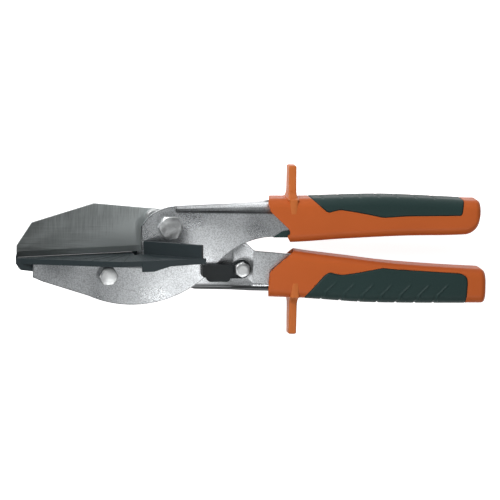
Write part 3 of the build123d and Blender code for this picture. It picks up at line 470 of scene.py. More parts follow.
def trim_anvil(points):
    """The anvil's ledge, drawn in under the wings in front of the fence brackets, and its nose, slanted so
    that its front face lies along the line of sight."""
    x, y, z = points.T
    below = y < TABLE_AT_PIVOT + TABLE_RISE * x - LEDGE_BELOW
    under = (x < LEDGE_BACK) & (x > LEDGE_FRONT) & below & (np.abs(z) > LEDGE_HALF)
    nose = x < NOSE_BACK
    x = np.where(nose, x - CAMERA_LEAN_X * (z[nose].max() - z), x)
    return np.stack([x, y, np.where(under, np.sign(z) * LEDGE_HALF, z)], axis=1)


def fill_node(tree, node, settings, links):
    """Gives a node its settings and the links into its inputs."""
    for key, value in settings.items():
        if isinstance(key, str) and hasattr(node, key):
            setattr(node, key, value)
        else:
            node.inputs[key].default_value = value
    for key, source in links.items():
        tree.links.new(source, node.inputs[key])
    return node


def add_node(tree, kind, settings=None, links=None):
    """Adds one shader node with its settings and links."""
    return fill_node(tree, tree.nodes.new("ShaderNode" + kind), settings or {}, links or {})


def span(given, wanted):
    """A map range's settings, which turn one pair of values into another."""
    return {"From Min": given[0], "From Max": given[1], "To Min": wanted[0], "To Max": wanted[1]}


def finish_shader(tree, shader, colour, gloss, bump, settings):
    """Links the colour, gloss and bump that all finishes have, and sets the rest."""
    links = {"Base Color": colour, "Roughness": gloss.outputs["Result"], "Normal": bump.outputs["Normal"]}
    fill_node(tree, shader, settings, links)


def set_ramp(node, *stops):
    """Gives the ends of a colour ramp their places and colours."""
    for end, (position, colour) in zip(node.color_ramp.elements, stops):
        end.position = position
        end.color = (*colour, 1.0)


def new_material(name):
    """A node material, its tree, its shader and the output that gives a point's place on the piece."""
    material = bpy.data.materials.new(name)
    material.use_nodes = True
    tree = material.node_tree
    shader = tree.nodes["Principled BSDF"]
    place = add_node(tree, "TexCoord").outputs["Object"]
    return material, tree, shader, place


def per_mm(size):
    """The scale of a noise whose grains are that many millimetres across."""
    return 1.0 / (size * MM)


def plated_steel(name, colour, fold):
    """Cold-rolled sheet, pressed and barrel plated with nickel: bright, with a fine speckle where the plate
    follows the sheet's grain, so that reflections break up and no edge in them is sharp. Painted shade
    darkens the colour and dims the reflection on the back of the fold, and along the rounded sheared edges,
    where the plate is also thin and duller. Fold is a direction and the distances along it, in millimetres
    from the pivot, between which that shade comes in."""
    material, tree, shader, place = new_material(name)
    grain = add_node(
        tree, "TexNoise", {"Scale": per_mm(0.62), "Detail": 2.0, "Roughness": 0.6}, {"Vector": place}
    )
    cloud = add_node(tree, "TexNoise", {"Scale": per_mm(24.0), "Detail": 2.0}, {"Vector": place})
    tone = add_node(tree, "ValToRGB", {}, {"Fac": grain.outputs["Fac"]})
    set_ramp(tone, (0.36, [c * 0.62 for c in colour]), (0.60, colour))
    # Painted shade on the back of the fold, and a thin line of painted shade along rounded edges, partly
    # duller plate
    way, low, high = fold
    centred = add_node(tree, "Mapping", {"Location": [-c for c in PIVOT]}, {"Vector": place})
    along = add_node(tree, "VectorMath", {"operation": "DOT_PRODUCT", 1: way}, {0: centred.outputs["Vector"]})
    behind = add_node(
        tree, "MapRange", span((low * MM, high * MM), (0.0, 0.95)), {"Value": along.outputs["Value"]}
    )
    rounded = add_node(tree, "Bevel", {"samples": 6, "Radius": EDGE_SHADE_RADIUS * MM})
    true = add_node(tree, "NewGeometry")
    flat = add_node(
        tree,
        "VectorMath",
        {"operation": "DOT_PRODUCT"},
        {0: rounded.outputs["Normal"], 1: true.outputs["True Normal"]},
    )
    edge = add_node(tree, "MapRange", span((0.999, 0.96), (0.0, 0.95)), {"Value": flat.outputs["Value"]})
    grey = add_node(
        tree, "Math", {"operation": "MAXIMUM"}, {0: behind.outputs["Result"], 1: edge.outputs["Result"]}
    )
    # The speckled tone, darkened by that painted shade
    shaded_tone = add_node(
        tree,
        "Mix",
        {"data_type": "RGBA", 7: (*[c * 0.12 for c in colour], 1.0)},
        {0: grey.outputs["Value"], 6: tone.outputs["Color"]},
    )
    # The painted shade also dims the reflection's tint
    rim = add_node(
        tree, "Mix", {"data_type": "RGBA", 6: WHITE, 7: (0.1, 0.1, 0.1, 1.0)}, {0: grey.outputs["Value"]}
    )
    gloss = add_node(tree, "MapRange", span((0.3, 0.7), (0.24, 0.36)), {"Value": cloud.outputs["Fac"]})
    bump = add_node(tree, "Bump", {"Strength": 0.28, "Distance": 0.06 * MM}, {"Height": grain.outputs["Fac"]})
    tree.links.new(rim.outputs[2], shader.inputs["Specular Tint"])
    finish_shader(tree, shader, shaded_tone.outputs[2], gloss, bump, {"Metallic": 1.0})
    return material


def ground_steel(name, colour):
    """Carbon tool steel, ground across its height and then honed along its edge: fine upright scratches that
    give way to level ones near the edge, mid grey and satin. Painted light makes it lighter towards the edge,
    and painted shade darker towards its top and the nose."""
    material, tree, shader, place = new_material(name)
    centred = add_node(tree, "Mapping", {"Location": [-c for c in PIVOT]}, {"Vector": place})
    centred = centred.outputs["Vector"]
    # The real scratches are 0.05 mm apart; they are drawn at 0.5 mm so that they show in the render.
    upright = add_node(
        tree,
        "Mapping",
        {"Rotation": (0, 0, math.radians(-8)), "Scale": (per_mm(0.5), per_mm(11.0), per_mm(2.0))},
        {"Vector": centred},
    )
    level = add_node(
        tree, "Mapping", {"Scale": (per_mm(16.0), per_mm(0.5), per_mm(2.0))}, {"Vector": centred}
    )
    scratches = {"Scale": 1.0, "Detail": 3.0, "Roughness": 0.6}
    ground = add_node(tree, "TexNoise", scratches, {"Vector": upright.outputs["Vector"]})
    honed = add_node(tree, "TexNoise", scratches, {"Vector": level.outputs["Vector"]})
    axes = add_node(tree, "SeparateXYZ", {}, {"Vector": centred})
    rise = add_node(
        tree, "MapRange", span((-14.0 * MM, 4.0 * MM), (0.15, 0.85)), {"Value": axes.outputs["Y"]}
    )
    scratch = add_node(
        tree,
        "Mix",
        {"data_type": "FLOAT"},
        {0: rise.outputs["Result"], 2: honed.outputs["Fac"], 3: ground.outputs["Fac"]},
    )
    tone = add_node(tree, "MapRange", span((0.32, 0.68), (0.72, 1.12)), {"Value": scratch.outputs[0]})
    # Painted light lightens the blade towards its cutting edge; painted shade darkens its top and the nose
    high = add_node(
        tree, "MapRange", span((-19.0 * MM, 9.0 * MM), (1.30, 0.68)), {"Value": axes.outputs["Y"]}
    )
    back = add_node(
        tree, "MapRange", span((-90.0 * MM, -15.0 * MM), (0.25, 1.50)), {"Value": axes.outputs["X"]}
    )
    painted_light_and_shade = add_node(
        tree, "Math", {"operation": "MULTIPLY"}, {0: high.outputs["Result"], 1: back.outputs["Result"]}
    )
    all_tone = add_node(
        tree, "Math", {"operation": "MULTIPLY"}, {0: painted_light_and_shade.outputs["Value"], 1: tone.outputs["Result"]}
    )
    paint = add_node(
        tree,
        "Mix",
        {"data_type": "RGBA", 6: (0.0, 0.0, 0.0, 1.0), 7: (*colour, 1.0)},
        {0: all_tone.outputs["Value"]},
    )
    gloss = add_node(tree, "MapRange", span((0.3, 0.7), (0.34, 0.46)), {"Value": scratch.outputs[0]})
    bump = add_node(tree, "Bump", {"Strength": 0.2, "Distance": 0.03 * MM}, {"Height": scratch.outputs[0]})
    finish_shader(tree, shader, paint.outputs[2], gloss, bump, {"Metallic": 1.0})
    return material


def zinc_plate(name, colour, centre=None):
    """Bright zinc plate on cold-headed bolts: soft gloss with faint blotches. A head with a centre, a bench
    point, has its face turned: fine rings about that point spread a highlight into a bow."""
    material, tree, shader, place = new_material(name)
    blotch = add_node(tree, "TexNoise", {"Scale": per_mm(2.4), "Detail": 3.0}, {"Vector": place})
    tone = add_node(tree, "ValToRGB", {}, {"Fac": blotch.outputs["Fac"]})
    set_ramp(tone, (0.3, [c * 0.8 for c in colour]), (0.7, colour))
    gloss = add_node(tree, "MapRange", span((0.3, 0.7), (0.30, 0.42)), {"Value": blotch.outputs["Fac"]})
    bump = add_node(tree, "Bump", {"Strength": 0.3, "Distance": 0.06 * MM}, {"Height": blotch.outputs["Fac"]})
    if centre is not None:
        middle = PIVOT + np.array((*centre, 0.0)) * MM
        centred = add_node(tree, "Mapping", {"Location": [-c for c in middle]}, {"Vector": place})
        flat = add_node(
            tree, "VectorMath", {"operation": "MULTIPLY", 1: (1.0, 1.0, 0.0)}, {0: centred.outputs["Vector"]}
        )
        reach = add_node(tree, "VectorMath", {"operation": "LENGTH"}, {0: flat.outputs["Vector"]})
        # The cutter's rings are 0.1 mm apart; they are drawn at 0.5 mm so that they show in the render.
        ring = add_node(
            tree,
            "TexNoise",
            {"noise_dimensions": "1D", "Scale": per_mm(0.5), "Detail": 2.0},
            {"W": reach.outputs["Value"]},
        )
        fill_node(tree, bump, {"Distance": 0.09 * MM, "Strength": 0.6}, {"Height": ring.outputs["Fac"]})
    finish_shader(tree, shader, tone.outputs["Color"], gloss, bump, {"Metallic": 1.0})
    return material


def moulded(name, colour, grain_mm, rough, depth_mm, shade=0.86, shine=0.3):
    """Injection-moulded plastic: one colour, a fine grain from the tool's eroded face, a soft sheen on it."""
    material, tree, shader, place = new_material(name)
    grain = add_node(tree, "TexNoise", {"Scale": per_mm(grain_mm), "Detail": 2.0}, {"Vector": place})
    flow = add_node(tree, "TexNoise", {"Scale": per_mm(35.0), "Detail": 2.0}, {"Vector": place})
    tone = add_node(tree, "ValToRGB", {}, {"Fac": flow.outputs["Fac"]})
    set_ramp(tone, (0.3, [c * shade for c in colour]), (0.7, colour))
    gloss = add_node(
        tree, "MapRange", span((0.3, 0.7), (rough - 0.05, rough + 0.07)), {"Value": grain.outputs["Fac"]}
    )
    bump = add_node(
        tree, "Bump", {"Strength": 0.35, "Distance": depth_mm * MM}, {"Height": grain.outputs["Fac"]}
    )
    finish_shader(tree, shader, tone.outputs["Color"], gloss, bump, {"IOR": 1.5, "Specular IOR Level": shine})
    return material


def spring_wire(name, colour):
    """Drawn spring steel, oiled: dark, glossy along the wire."""
    material, tree, shader, place = new_material(name)
    streak = add_node(tree, "TexNoise", {"Scale": per_mm(0.6), "Detail": 2.0}, {"Vector": place})
    gloss = add_node(tree, "MapRange", span((0.3, 0.7), (0.22, 0.36)), {"Value": streak.outputs["Fac"]})
    settings = {"Base Color": (*colour, 1.0), "Metallic": 1.0}
    fill_node(tree, shader, settings, {"Roughness": gloss.outputs["Result"]})
    return material


def length_setting(name, description, default, least, most):
    """A length that the panel shows in the scene's unit, given here in millimetres."""
    return FloatProperty(
        name=name, description=description, default=default * MM, min=least * MM, max=most * MM, unit="LENGTH"
    )


def colour_setting(name, description, code):
    """A finish's colour, given here in hex."""
    return FloatVectorProperty(
        name=name, description=description, subtype="COLOR", size=3, default=linear(code)
    )


class ShearsSizes(bpy.types.PropertyGroup):
    """Sizes of the dressed tool that a user would change."""

    grip_half_width: length_setting("Grip half width", "Middle of a grip to its side face", 12.0, 9.0, 12.0)
    grip_round: length_setting("Grip edge radius", "Radius of a grip's long edges", 5.2, 3.0, 8.0)
    insert_rise: length_setting(
        "Insert height", "How far the soft insert stands above its shell", 0.15, 0.0, 0.6
    )
    groove_depth: length_setting("Groove depth", "Depth of the grooves across the inserts", 0.7, 0.0, 1.4)
    mark_width: length_setting("Mark width", "Width of the angle marks on the table", 0.45, 0.2, 1.0)
    mark_count: IntProperty(
        name="Marks a side",
        description="Angle marks on each table wing",
        default=4,
        min=0,
        max=len(MARK_ENDS),
    )


class ShearsColours(bpy.types.PropertyGroup):
    """Colours of the tool's finishes."""

    steel: colour_setting("Plated steel", "Levers", "#e3e6e8")
    blade: colour_setting("Blade steel", "Ground blade", "#c8cecd")
    zinc: colour_setting("Zinc plate", "Bolts and nuts", "#d6d8d8")
    spring: colour_setting("Spring steel", "Return spring", "#6a6d70")
    nylon: colour_setting("Black nylon", "Anvil and fences", "#2a3336")
    latch: colour_setting("Latch", "Latch lever", "#171d1f")
    strip: colour_setting("Cutting strip", "Strip under the blade", "#181d1f")
    orange: colour_setting("Orange shell", "Grip shells", "#c2602e")
    # Painted light: the guards are lighter and yellower than the shell's orange, for light coming through the
    # thin plastic
    guard: colour_setting("Guard", "Thin finger guards, which let some light through", "#c66e38")
    insert: colour_setting("Soft insert", "Grip inserts", "#1f3634")
    floor: colour_setting("Floor", "The pale floor", "#f4f4f4")


# Each finish: what makes it, its name, its colour in the panel and what else it needs
FINISHES = {
    "jaw_steel": (plated_steel, "barrel_plated_jaw_sheet", "steel", JAW_FOLD_SHADE),
    "arm_steel": (plated_steel, "barrel_plated_arm_sheet", "steel", BLADE_FOLD_SHADE),
    "blade": (ground_steel, "surface_ground_tool_steel", "blade"),
    "zinc": (zinc_plate, "bright_zinc_plate", "zinc"),
    "pivot_zinc": (zinc_plate, "turned_zinc_plate_pivot", "zinc", (0.0, 0.0)),
    "anvil_zinc": (zinc_plate, "turned_zinc_plate_anvil", "zinc", ANVIL_BOLT),
    "spring": (spring_wire, "drawn_spring_steel", "spring"),
    "nylon": (moulded, "glass_filled_nylon", "nylon", 0.8, 0.42, 0.05),
    "latch": (moulded, "acetal_latch", "latch", 0.9, 0.36, 0.04),
    "strip": (moulded, "tough_polyethylene", "strip", 1.1, 0.5, 0.05),
    "orange": (moulded, "moulded_abs_shell", "orange", 1.2, 0.40, 0.03, 0.93, 0.12),
    "guard": (moulded, "thin_abs_guard", "guard", 1.2, 0.40, 0.03, 0.93, 0.12),
    "insert": (moulded, "soft_thermoplastic_rubber", "insert", 0.9, 0.58, 0.06, 0.9),
}
made = {}


def finish_of(kind):
    """One material of each finish, made when it is first asked for."""
    if kind not in made:
        maker, name, colour, *rest = FINISHES[kind]
        made[kind] = maker(name, tuple(getattr(bpy.context.scene.shears_colours, colour)), *rest)
    return made[kind]


def section_shape():
    """Signs and angles of one rounded rectangle's points, anticlockwise from the middle of its lower edge:
    each point is a corner's centre plus its radius at an angle; points between corners lie on the
    straights."""
    quarter = np.linspace(0, math.pi / 2, SECTION_CORNER_POINTS)
    signs_z, signs_y, angles = [], [], []
    for index, (side_z, side_y) in enumerate(((1, -1), (1, 1), (-1, 1), (-1, -1))):
        start = -math.pi / 2 + index * math.pi / 2
        signs_z.append(np.full(SECTION_CORNER_POINTS, side_z, float))
        signs_y.append(np.full(SECTION_CORNER_POINTS, side_y, float))
        angles.append(start + quarter)
    return np.array(signs_z), np.array(signs_y), np.array(angles)


def grip_surface(grip, sizes):
    """The outside of a grip on a grid. Each row is a rounded rectangle at one distance along the grip; its
    height runs between the two profile curves, and near the end all sides draw in by a quarter circle.
    Returns the points and their outward normals."""
    start, length, reach = grip["start"], grip["length"], grip["reach"]
    stop = start + reach
    share = np.linspace(0, 1, GRIP_STATIONS)
    x = start - GRIP_LEAD + (reach + GRIP_LEAD) * (1 - (1 - share) ** GRIP_CROWDING)
    along = (x - start) / length
    top = grip["top"] - smooth_line(along, grip["top_line"]) * grip["height"]
    low = grip["top"] - smooth_line(along, grip["low_line"]) * grip["height"]
    end_top, end_low, end_side = grip["end_radii"]

    def draw_in(radius):
        inside = np.clip((x - (stop - radius)) / radius, 0, 1)
        return radius * (1 - np.sqrt(np.maximum(1 - inside**2, 0)))

    top = top - draw_in(end_top)
    low = low + draw_in(end_low)
    half = sizes.grip_half_width / MM - draw_in(end_side)
    middle, rise = (top + low) / 2, (top - low) / 2
    corner = np.minimum(sizes.grip_round / MM, GRIP_CORNER_SHARE * np.minimum(half, rise))
    signs_z, signs_y, angles = section_shape()
    rows = []
    for index in range(4):
        z = signs_z[index] * (half - corner)[:, None] + corner[:, None] * np.cos(angles[index])
        y = middle[:, None] + signs_y[index] * (rise - corner)[:, None]
        y = y + corner[:, None] * np.sin(angles[index])
        rows.append(np.stack([y, z], axis=2))
    ring = []
    inner = np.linspace(0, 1, SECTION_FLAT_POINTS + 2)[1:-1]
    for index in range(4):
        ring.append(rows[index])
        first, second = rows[index][:, -1:], rows[(index + 1) % 4][:, :1]
        ring.append(first + (second - first) * inner[None, :, None])
    ring = np.concatenate(ring, axis=1)
    y, z = ring[:, :, 0], ring[:, :, 1]
    flat = np.clip(1 - ((y - middle[:, None]) / np.maximum(rise, 1e-6)[:, None]) ** 2, 0, 1)
    edge_share = np.clip(np.abs(z) / np.maximum(half, 1e-6)[:, None], 0, 1)
    z = z - np.sign(z) * GRIP_CROWN * (1 - flat) * edge_share**2
    x = np.repeat(x[:, None], y.shape[1], axis=1)
    points = np.stack([x, y, z], axis=2)
    step_along = np.gradient(points, axis=0)
    step_round = np.roll(points, -1, axis=1) - np.roll(points, 1, axis=1)
    normal = np.cross(step_along, step_round)
    normal /= np.maximum(np.linalg.norm(normal, axis=2, keepdims=True), 1e-9)
    outward = np.sign((normal[:, :, 1] * (y - middle[:, None]) + normal[:, :, 2] * z).sum())
    return points, normal * outward


def palm_distance(points, way):
    """Distance round each section from the palm's middle line, the same on both sides."""
    y, z = points[:, :, 1], points[:, :, 2]
    palm = np.argmax(y[0] * way - np.abs(z[0]) * PALM_PULL)
    step = np.linalg.norm(np.diff(points, axis=1, append=points[:, :1]), axis=2)
    rolled = np.roll(step, -palm, axis=1)
    run = np.concatenate([np.zeros((len(y), 1)), np.cumsum(rolled, axis=1)[:, :-1]], axis=1)
    run = np.minimum(run, rolled.sum(axis=1, keepdims=True) - run)
    return np.roll(run, palm, axis=1)


def groove_depth(x, around, reach, depth):
    """Grooves across the palm that run back up both sides: each a rounded notch over the palm that turns, on
    the side, into a shallow one with a raised lip behind it, and fades out at its reach."""
    back = GROOVE_LEAN * around + GROOVE_SLOPE * np.maximum(around - GROOVE_TURN, 0)
    place = (x - GROOVE_START - back) / GROOVE_PITCH
    nearest = np.clip(np.round(place), 0, GROOVE_COUNT - 1)
    away = (place - nearest) * GROOVE_PITCH / GROOVE_HALF
    notch = np.clip(1 - away**2, 0, 1) ** GROOVE_FULLNESS
    lip = np.clip(1 - (away - GROOVE_LIP_BACK) ** 2, 0, 1)
    fade = 1 - smooth_step(around, reach - GROOVE_FADE, reach)
    turned = smooth_step(around, *GROOVE_SIDE)
    return (depth * notch * (1 - (1 - GROOVE_SIDE_SHARE) * turned) - GROOVE_LIP * lip * turned) * fade


def guard_surface(grip, body_half):
    """A finger guard: rounded bars stacked from inside the grip out to the tip. Its thickness flares where it
    leaves the grip, by an exponential, and its width narrows to the tip, where a quarter circle closes it."""
    way, tip = grip["palm"], grip["guard_tip"]
    palm = grip["top"] - (LOWER_PALM_SHARE * grip["height"] if way < 0 else 0.0)
    reach = abs(tip - palm) + GUARD_SUNK
    out = reach * (1 - (1 - np.linspace(0, 1, GUARD_ROWS)) ** GUARD_CROWDING)
    rise = out - GUARD_SUNK
    near_tip = np.clip(out - (reach - GUARD_TIP_ROUND), 0, GUARD_TIP_ROUND) / GUARD_TIP_ROUND
    close = np.sqrt(np.clip(1 - near_tip**2, 0, 1))
    flare = GUARD_FLARE * np.exp(-np.clip(rise + GUARD_SHOULDER, 0, None) / GUARD_FLARE_FADE)
    thick = GUARD_HALF_THICK - GUARD_TIP_ROUND + GUARD_TIP_ROUND * close + flare
    rib = GUARD_HALF_THICK + GUARD_FLARE * GUARD_PROUD * (1 + (rise + GUARD_SHOULDER) / GUARD_SUNK)
    thick = np.where(rise <= -GUARD_SHOULDER, rib, thick)
    widths = (body_half * GUARD_ROOT_SHARE, *GUARD_HALF_WIDTHS)
    free = np.interp(rise, [0, GUARD_ROOT_RISE, reach - GUARD_SUNK], widths)
    wide = np.where(rise < 0, body_half + GUARD_PROUD * (1 + rise / GUARD_SUNK), free)
    wide = np.where(out > reach - GUARD_TIP_ROUND * 2, wide - (1 - close) * GUARD_TIP_DRAW, wide)
    turn = np.linspace(0, 2 * math.pi, GUARD_RING, endpoint=False)
    across = np.sign(np.cos(turn)) * np.abs(np.cos(turn)) ** GUARD_SQUARENESS
    beside = np.sign(np.sin(turn)) * np.abs(np.sin(turn)) ** GUARD_SQUARENESS
    x = grip["guard_x"] + thick[:, None] * across
    z = wide[:, None] * beside
    y = np.repeat((tip - way * reach + way * out)[:, None], GUARD_RING, axis=1)
    points = np.stack([x, y, z], axis=2).reshape(-1, 3)
    faces = [list(face) for face in grid_quads(GUARD_ROWS, GUARD_RING)]
    faces.append(list(range(GUARD_RING))[::-1])
    faces.append(list(range((GUARD_ROWS - 1) * GUARD_RING, GUARD_ROWS * GUARD_RING)))
    return points, outward(points, faces)


def thicken(piece, wall, rim):
    """Gives a surface its wall, inwards, and rounds the wall's rim."""
    solid = piece.modifiers.new("wall", "SOLIDIFY")
    solid.thickness = wall * MM
    solid.offset = -1.0
    solid.use_even_offset = False
    if rim > 0:
        round_edges(piece, "rim", rim, RIM_ANGLE)


def outward(points, faces):
    """Faces turned so that the mesh's own volume is positive."""
    triangles = np.array([[f[0], f[i], f[i + 1]] for f in faces for i in range(1, len(f) - 1)])
    a, b, c = points[triangles[:, 0]], points[triangles[:, 1]], points[triangles[:, 2]]
    if np.einsum("ij,ij->i", a, np.cross(b, c)).sum() < 0:
        return [list(f)[::-1] for f in faces]
    return faces


def prism(outline, half):
    """A rounded outline in the side view, carried across the tool from one side to the other."""
    ring = rounded_outline(outline, COLLAR_LINING_AND_SHADOW_ROUND)
    count = len(ring)
    points = np.concatenate([np.column_stack([ring, np.full(count, level)]) for level in (-half, half)])
    faces = [list(face) for face in grid_quads(2, count)]
    faces += [list(range(count))[::-1], list(range(count, 2 * count))]
    return points, outward(points, faces)


def make_grip(grip):
    """One grip: its orange shell with the guard, and its soft insert. The surface is cut at the collar's rim,
    which lies along the line of sight, and then into shell and insert along the insert's outline."""
    sizes = bpy.context.scene.shears_sizes
    side, body, start, length = grip["side"], grip["body"], grip["start"], grip["length"]
    points, normal = grip_surface(grip, sizes)
    around = palm_distance(points, grip["palm"])
    rows, columns = around.shape
    flat = np.concatenate([points, normal, around[:, :, None]], axis=2).reshape(-1, 7)
    triangles = halves(grid_quads(rows, columns))
    cap_centre = flat[-columns:].mean(axis=0)
    cap_centre[3:6] = (1, 0, 0)
    flat = np.concatenate([flat, cap_centre[None]])
    last = (rows - 1) * columns + np.arange(columns)
    cap = np.stack([last, np.roll(last, -1), np.full(columns, len(flat) - 1)], axis=1)
    triangles = np.concatenate([triangles, cap])
    first = flat[triangles[:, 0], :3]
    turned = np.cross(flat[triangles[:, 1], :3] - first, flat[triangles[:, 2], :3] - first)
    if (turned * flat[triangles[:, 0], 3:6]).sum() < 0:
        triangles = triangles[:, ::-1]
    down = (grip["top"] - flat[:, 1]) / grip["height"]
    front = start + length * np.interp(down, *np.array(grip["collar"]).T) + CAMERA_LEAN_X * flat[:, 2]
    flat, triangles = clip(flat, triangles, flat[:, 0] - front)
    outline = np.array([(start + u * length, grip["top"] - v * grip["height"]) for u, v in grip["insert"]])
    outline = rounded_outline(outline, INSERT_CORNER)
    field = inside_distance(flat[:, 0], flat[:, 1], outline)
    shell_points, shell_faces = clip(flat, triangles, -field)
    soft_points, soft_faces = clip(flat, triangles, field - INSERT_GAP)
    guard_points, guard_faces = guard_surface(grip, sizes.grip_half_width / MM)
    replaced = (f"{side}_grip_shell",)
    shell = new_piece(f"{side}_shell", shell_points, shell_faces, body, "orange", replaced)
    thicken(shell, COLLAR_WALL, COLLAR_RIM)
    new_piece(f"{side}_guard", guard_points, guard_faces, body, "guard")
    edge = inside_distance(soft_points[:, 0], soft_points[:, 1], outline) - INSERT_GAP
    lift = sizes.insert_rise / MM - np.clip(1 - edge / INSERT_ROUND, 0, 1) ** 2 * INSERT_SINK
    depth = sizes.groove_depth / MM
    lift = lift - groove_depth(soft_points[:, 0], soft_points[:, 6], grip["groove_reach"], depth)
    soft_points[:, :3] += soft_points[:, 3:6] * lift[:, None]
    replaced = (f"{side}_grip_insert",)
    soft = new_piece(f"{side}_insert", soft_points, soft_faces, body, "insert", replaced, 50.0)
    thicken(soft, INSERT_WALL, 0)


class SHEARS_OT_grips(bpy.types.Operator):
    """Makes both grips: shells, guards, soft inserts, and the dark wedge at the upper collar, partly painted
    shadow
    """

    bl_idname = "shears.grips"
    bl_label = "Grips"

    def execute(self, context):
        make_grip(UPPER_GRIP)
        make_grip(LOWER_GRIP)
        points, faces = prism(COLLAR_LINING_AND_SHADOW, COLLAR_LINING_AND_SHADOW_HALF)
        new_piece("upper_lip", points, faces, "jaw_side", "insert")
        return {"FINISHED"}


class SHEARS_OT_levers(bpy.types.Operator):
    """Makes the two folded steel levers"""

    bl_idname = "shears.levers"
    bl_label = "Levers"

    def execute(self, context):
        worn_copy("jaw_lever", "jaw_lever_sheet", "jaw_steel", SHEET_WEAR, reshape=cut_cheeks)
        worn_copy(
            "blade_lever", "blade_lever_sheet", "arm_steel", SHEET_WEAR, reshape=cut_arm
        )
        return {"FINISHED"}


class SHEARS_OT_blade(bpy.types.Operator):
    """Makes the ground blade and the strip it cuts against"""

    bl_idname = "shears.blade"
    bl_label = "Blade and strip"

    def execute(self, context):
        worn_copy("blade", "blade_plate", "blade", BLADE_WEAR, BLADE_SHARP)
        worn_copy("cutting_strip", "strip_bar", "strip", STRIP_WEAR)
        return {"FINISHED"}


def angle_marks(way, width, count):
    """Raised marks on a table wing, as arrays: each is a low bar with a narrower top, from MARK_START out to
    its own end along its angle, both measured from the root. Its height follows the table's slope."""
    angles, ends = np.radians([a for a, _ in MARK_ENDS[:count]]), np.array([e for _, e in MARK_ENDS[:count]])
    along = np.stack([-np.cos(angles), np.sin(angles)], axis=1)
    beside = np.stack([np.sin(angles), np.cos(angles)], axis=1)
    reach = np.stack([np.full(len(ends), MARK_START), ends], axis=1)
    half = np.array([0.5, 0.25]) * width
    rise = np.array([-MARK_SUNK, MARK_RISE])
    corners = []
    for level in (0, 1):
        for end, sign in ((0, -1), (0, 1), (1, 1), (1, -1)):
            plan = np.array(MARK_ROOT) + reach[:, end, None] * along + sign * half[level] * beside
            y = TABLE_AT_PIVOT + TABLE_RISE * plan[:, 0] + rise[level]
            corners.append(np.stack([plan[:, 0], y, way * plan[:, 1]], axis=1))
    points = np.stack(corners, axis=1)
    box = np.array([[0, 1, 2, 3], [4, 7, 6, 5], [0, 4, 5, 1], [1, 5, 6, 2], [2, 6, 7, 3], [3, 7, 4, 0]])
    faces = (box[None] + 8 * np.arange(len(ends))[:, None, None]).reshape(-1, 4)
    return points.reshape(-1, 3), outward(points.reshape(-1, 3), [list(face) for face in faces])


class SHEARS_OT_anvil(bpy.types.Operator):
    """Makes the moulded anvil, its fences and the angle marks on its wings"""

    bl_idname = "shears.anvil"
    bl_label = "Anvil and fences"

    def execute(self, context):
        worn_copy("anvil_body", "anvil_moulding", "nylon", MOULDED_WEAR, reshape=trim_anvil)
        for side in ("near", "far"):
            worn_copy(f"{side}_fence", f"{side}_fence_moulding", "nylon", MOULDED_WEAR)
        sizes = context.scene.shears_sizes
        for side, way in (("near", 1.0), ("far", -1.0)):
            points, faces = angle_marks(way, sizes.mark_width / MM, sizes.mark_count)
            new_piece(f"{side}_marks", points, faces, "jaw_side", "strip")
        return {"FINISHED"}


class SHEARS_OT_fasteners(bpy.types.Operator):
    """Makes bolts, nuts, washer, spacers and screws"""

    bl_idname = "shears.fasteners"
    bl_label = "Fasteners"

    def execute(self, context):
        nodes = (
            "pivot_bolt", "pivot_washer", "pivot_nut", "pivot_spacer", "anvil_bolt", "anvil_nut",
            "blade_screw", "blade_nut", "latch_spacers", "latch_screw", "latch_nut", "fence_screws",
        )
        turned = {"pivot_bolt": "pivot_zinc", "anvil_bolt": "anvil_zinc"}
        for node in nodes:
            worn_copy(node, f"{node}_zinc", turned.get(node, "zinc"))
        return {"FINISHED"}


class SHEARS_OT_latch(bpy.types.Operator):
    """Makes the latch and the return spring"""

    bl_idname = "shears.latch"
    bl_label = "Latch and spring"

    def execute(self, context):
        worn_copy("latch_lever", "latch_moulding", "latch", LATCH_WEAR)
        worn_copy("return_spring", "spring_coil", "spring", 0)
        return {"FINISHED"}


def white_floor(colour):
    """Matt white studio paper: full white to the camera and in reflections, yet it takes a soft shadow."""
    material, tree, shader, place = new_material("matt_studio_paper")
    light = add_node(tree, "LightPath")
    seen = add_node(
        tree,
        "Math",
        {"operation": "MAXIMUM"},
        {0: light.outputs["Is Camera Ray"], 1: light.outputs["Is Glossy Ray"]},
    )
    strength = add_node(tree, "Math", {"operation": "MULTIPLY", 1: FLOOR_GLOW}, {0: seen.outputs["Value"]})
    fibre = add_node(tree, "TexNoise", {"Scale": per_mm(3.0)}, {"Vector": place})
    gloss = add_node(tree, "MapRange", {"To Min": 0.85, "To Max": 0.95}, {"Value": fibre.outputs["Fac"]})
    settings = {"Emission Color": WHITE, "Base Color": (*colour, 1.0)}
    links = {"Roughness": gloss.outputs["Result"], "Emission Strength": strength.outputs["Value"]}
    fill_node(tree, shader, settings, links)
    return material


def add_area(name, place, aim, size, watts):
    """A rectangular lamp at a bench point, facing another."""
    data = bpy.data.lights.new(name, "AREA")
    data.shape = "RECTANGLE"
    data.size, data.size_y = size[0] * MM, size[1] * MM
    data.energy = watts
    lamp = add_object(name, data)
    lamp.visible_camera = False
    spot, target = (Vector(point) for point in to_frame([place, aim]))
    lamp.location = spot
    lamp.rotation_mode = "QUATERNION"
    lamp.rotation_quaternion = (target - spot).to_track_quat("-Z", "Y")


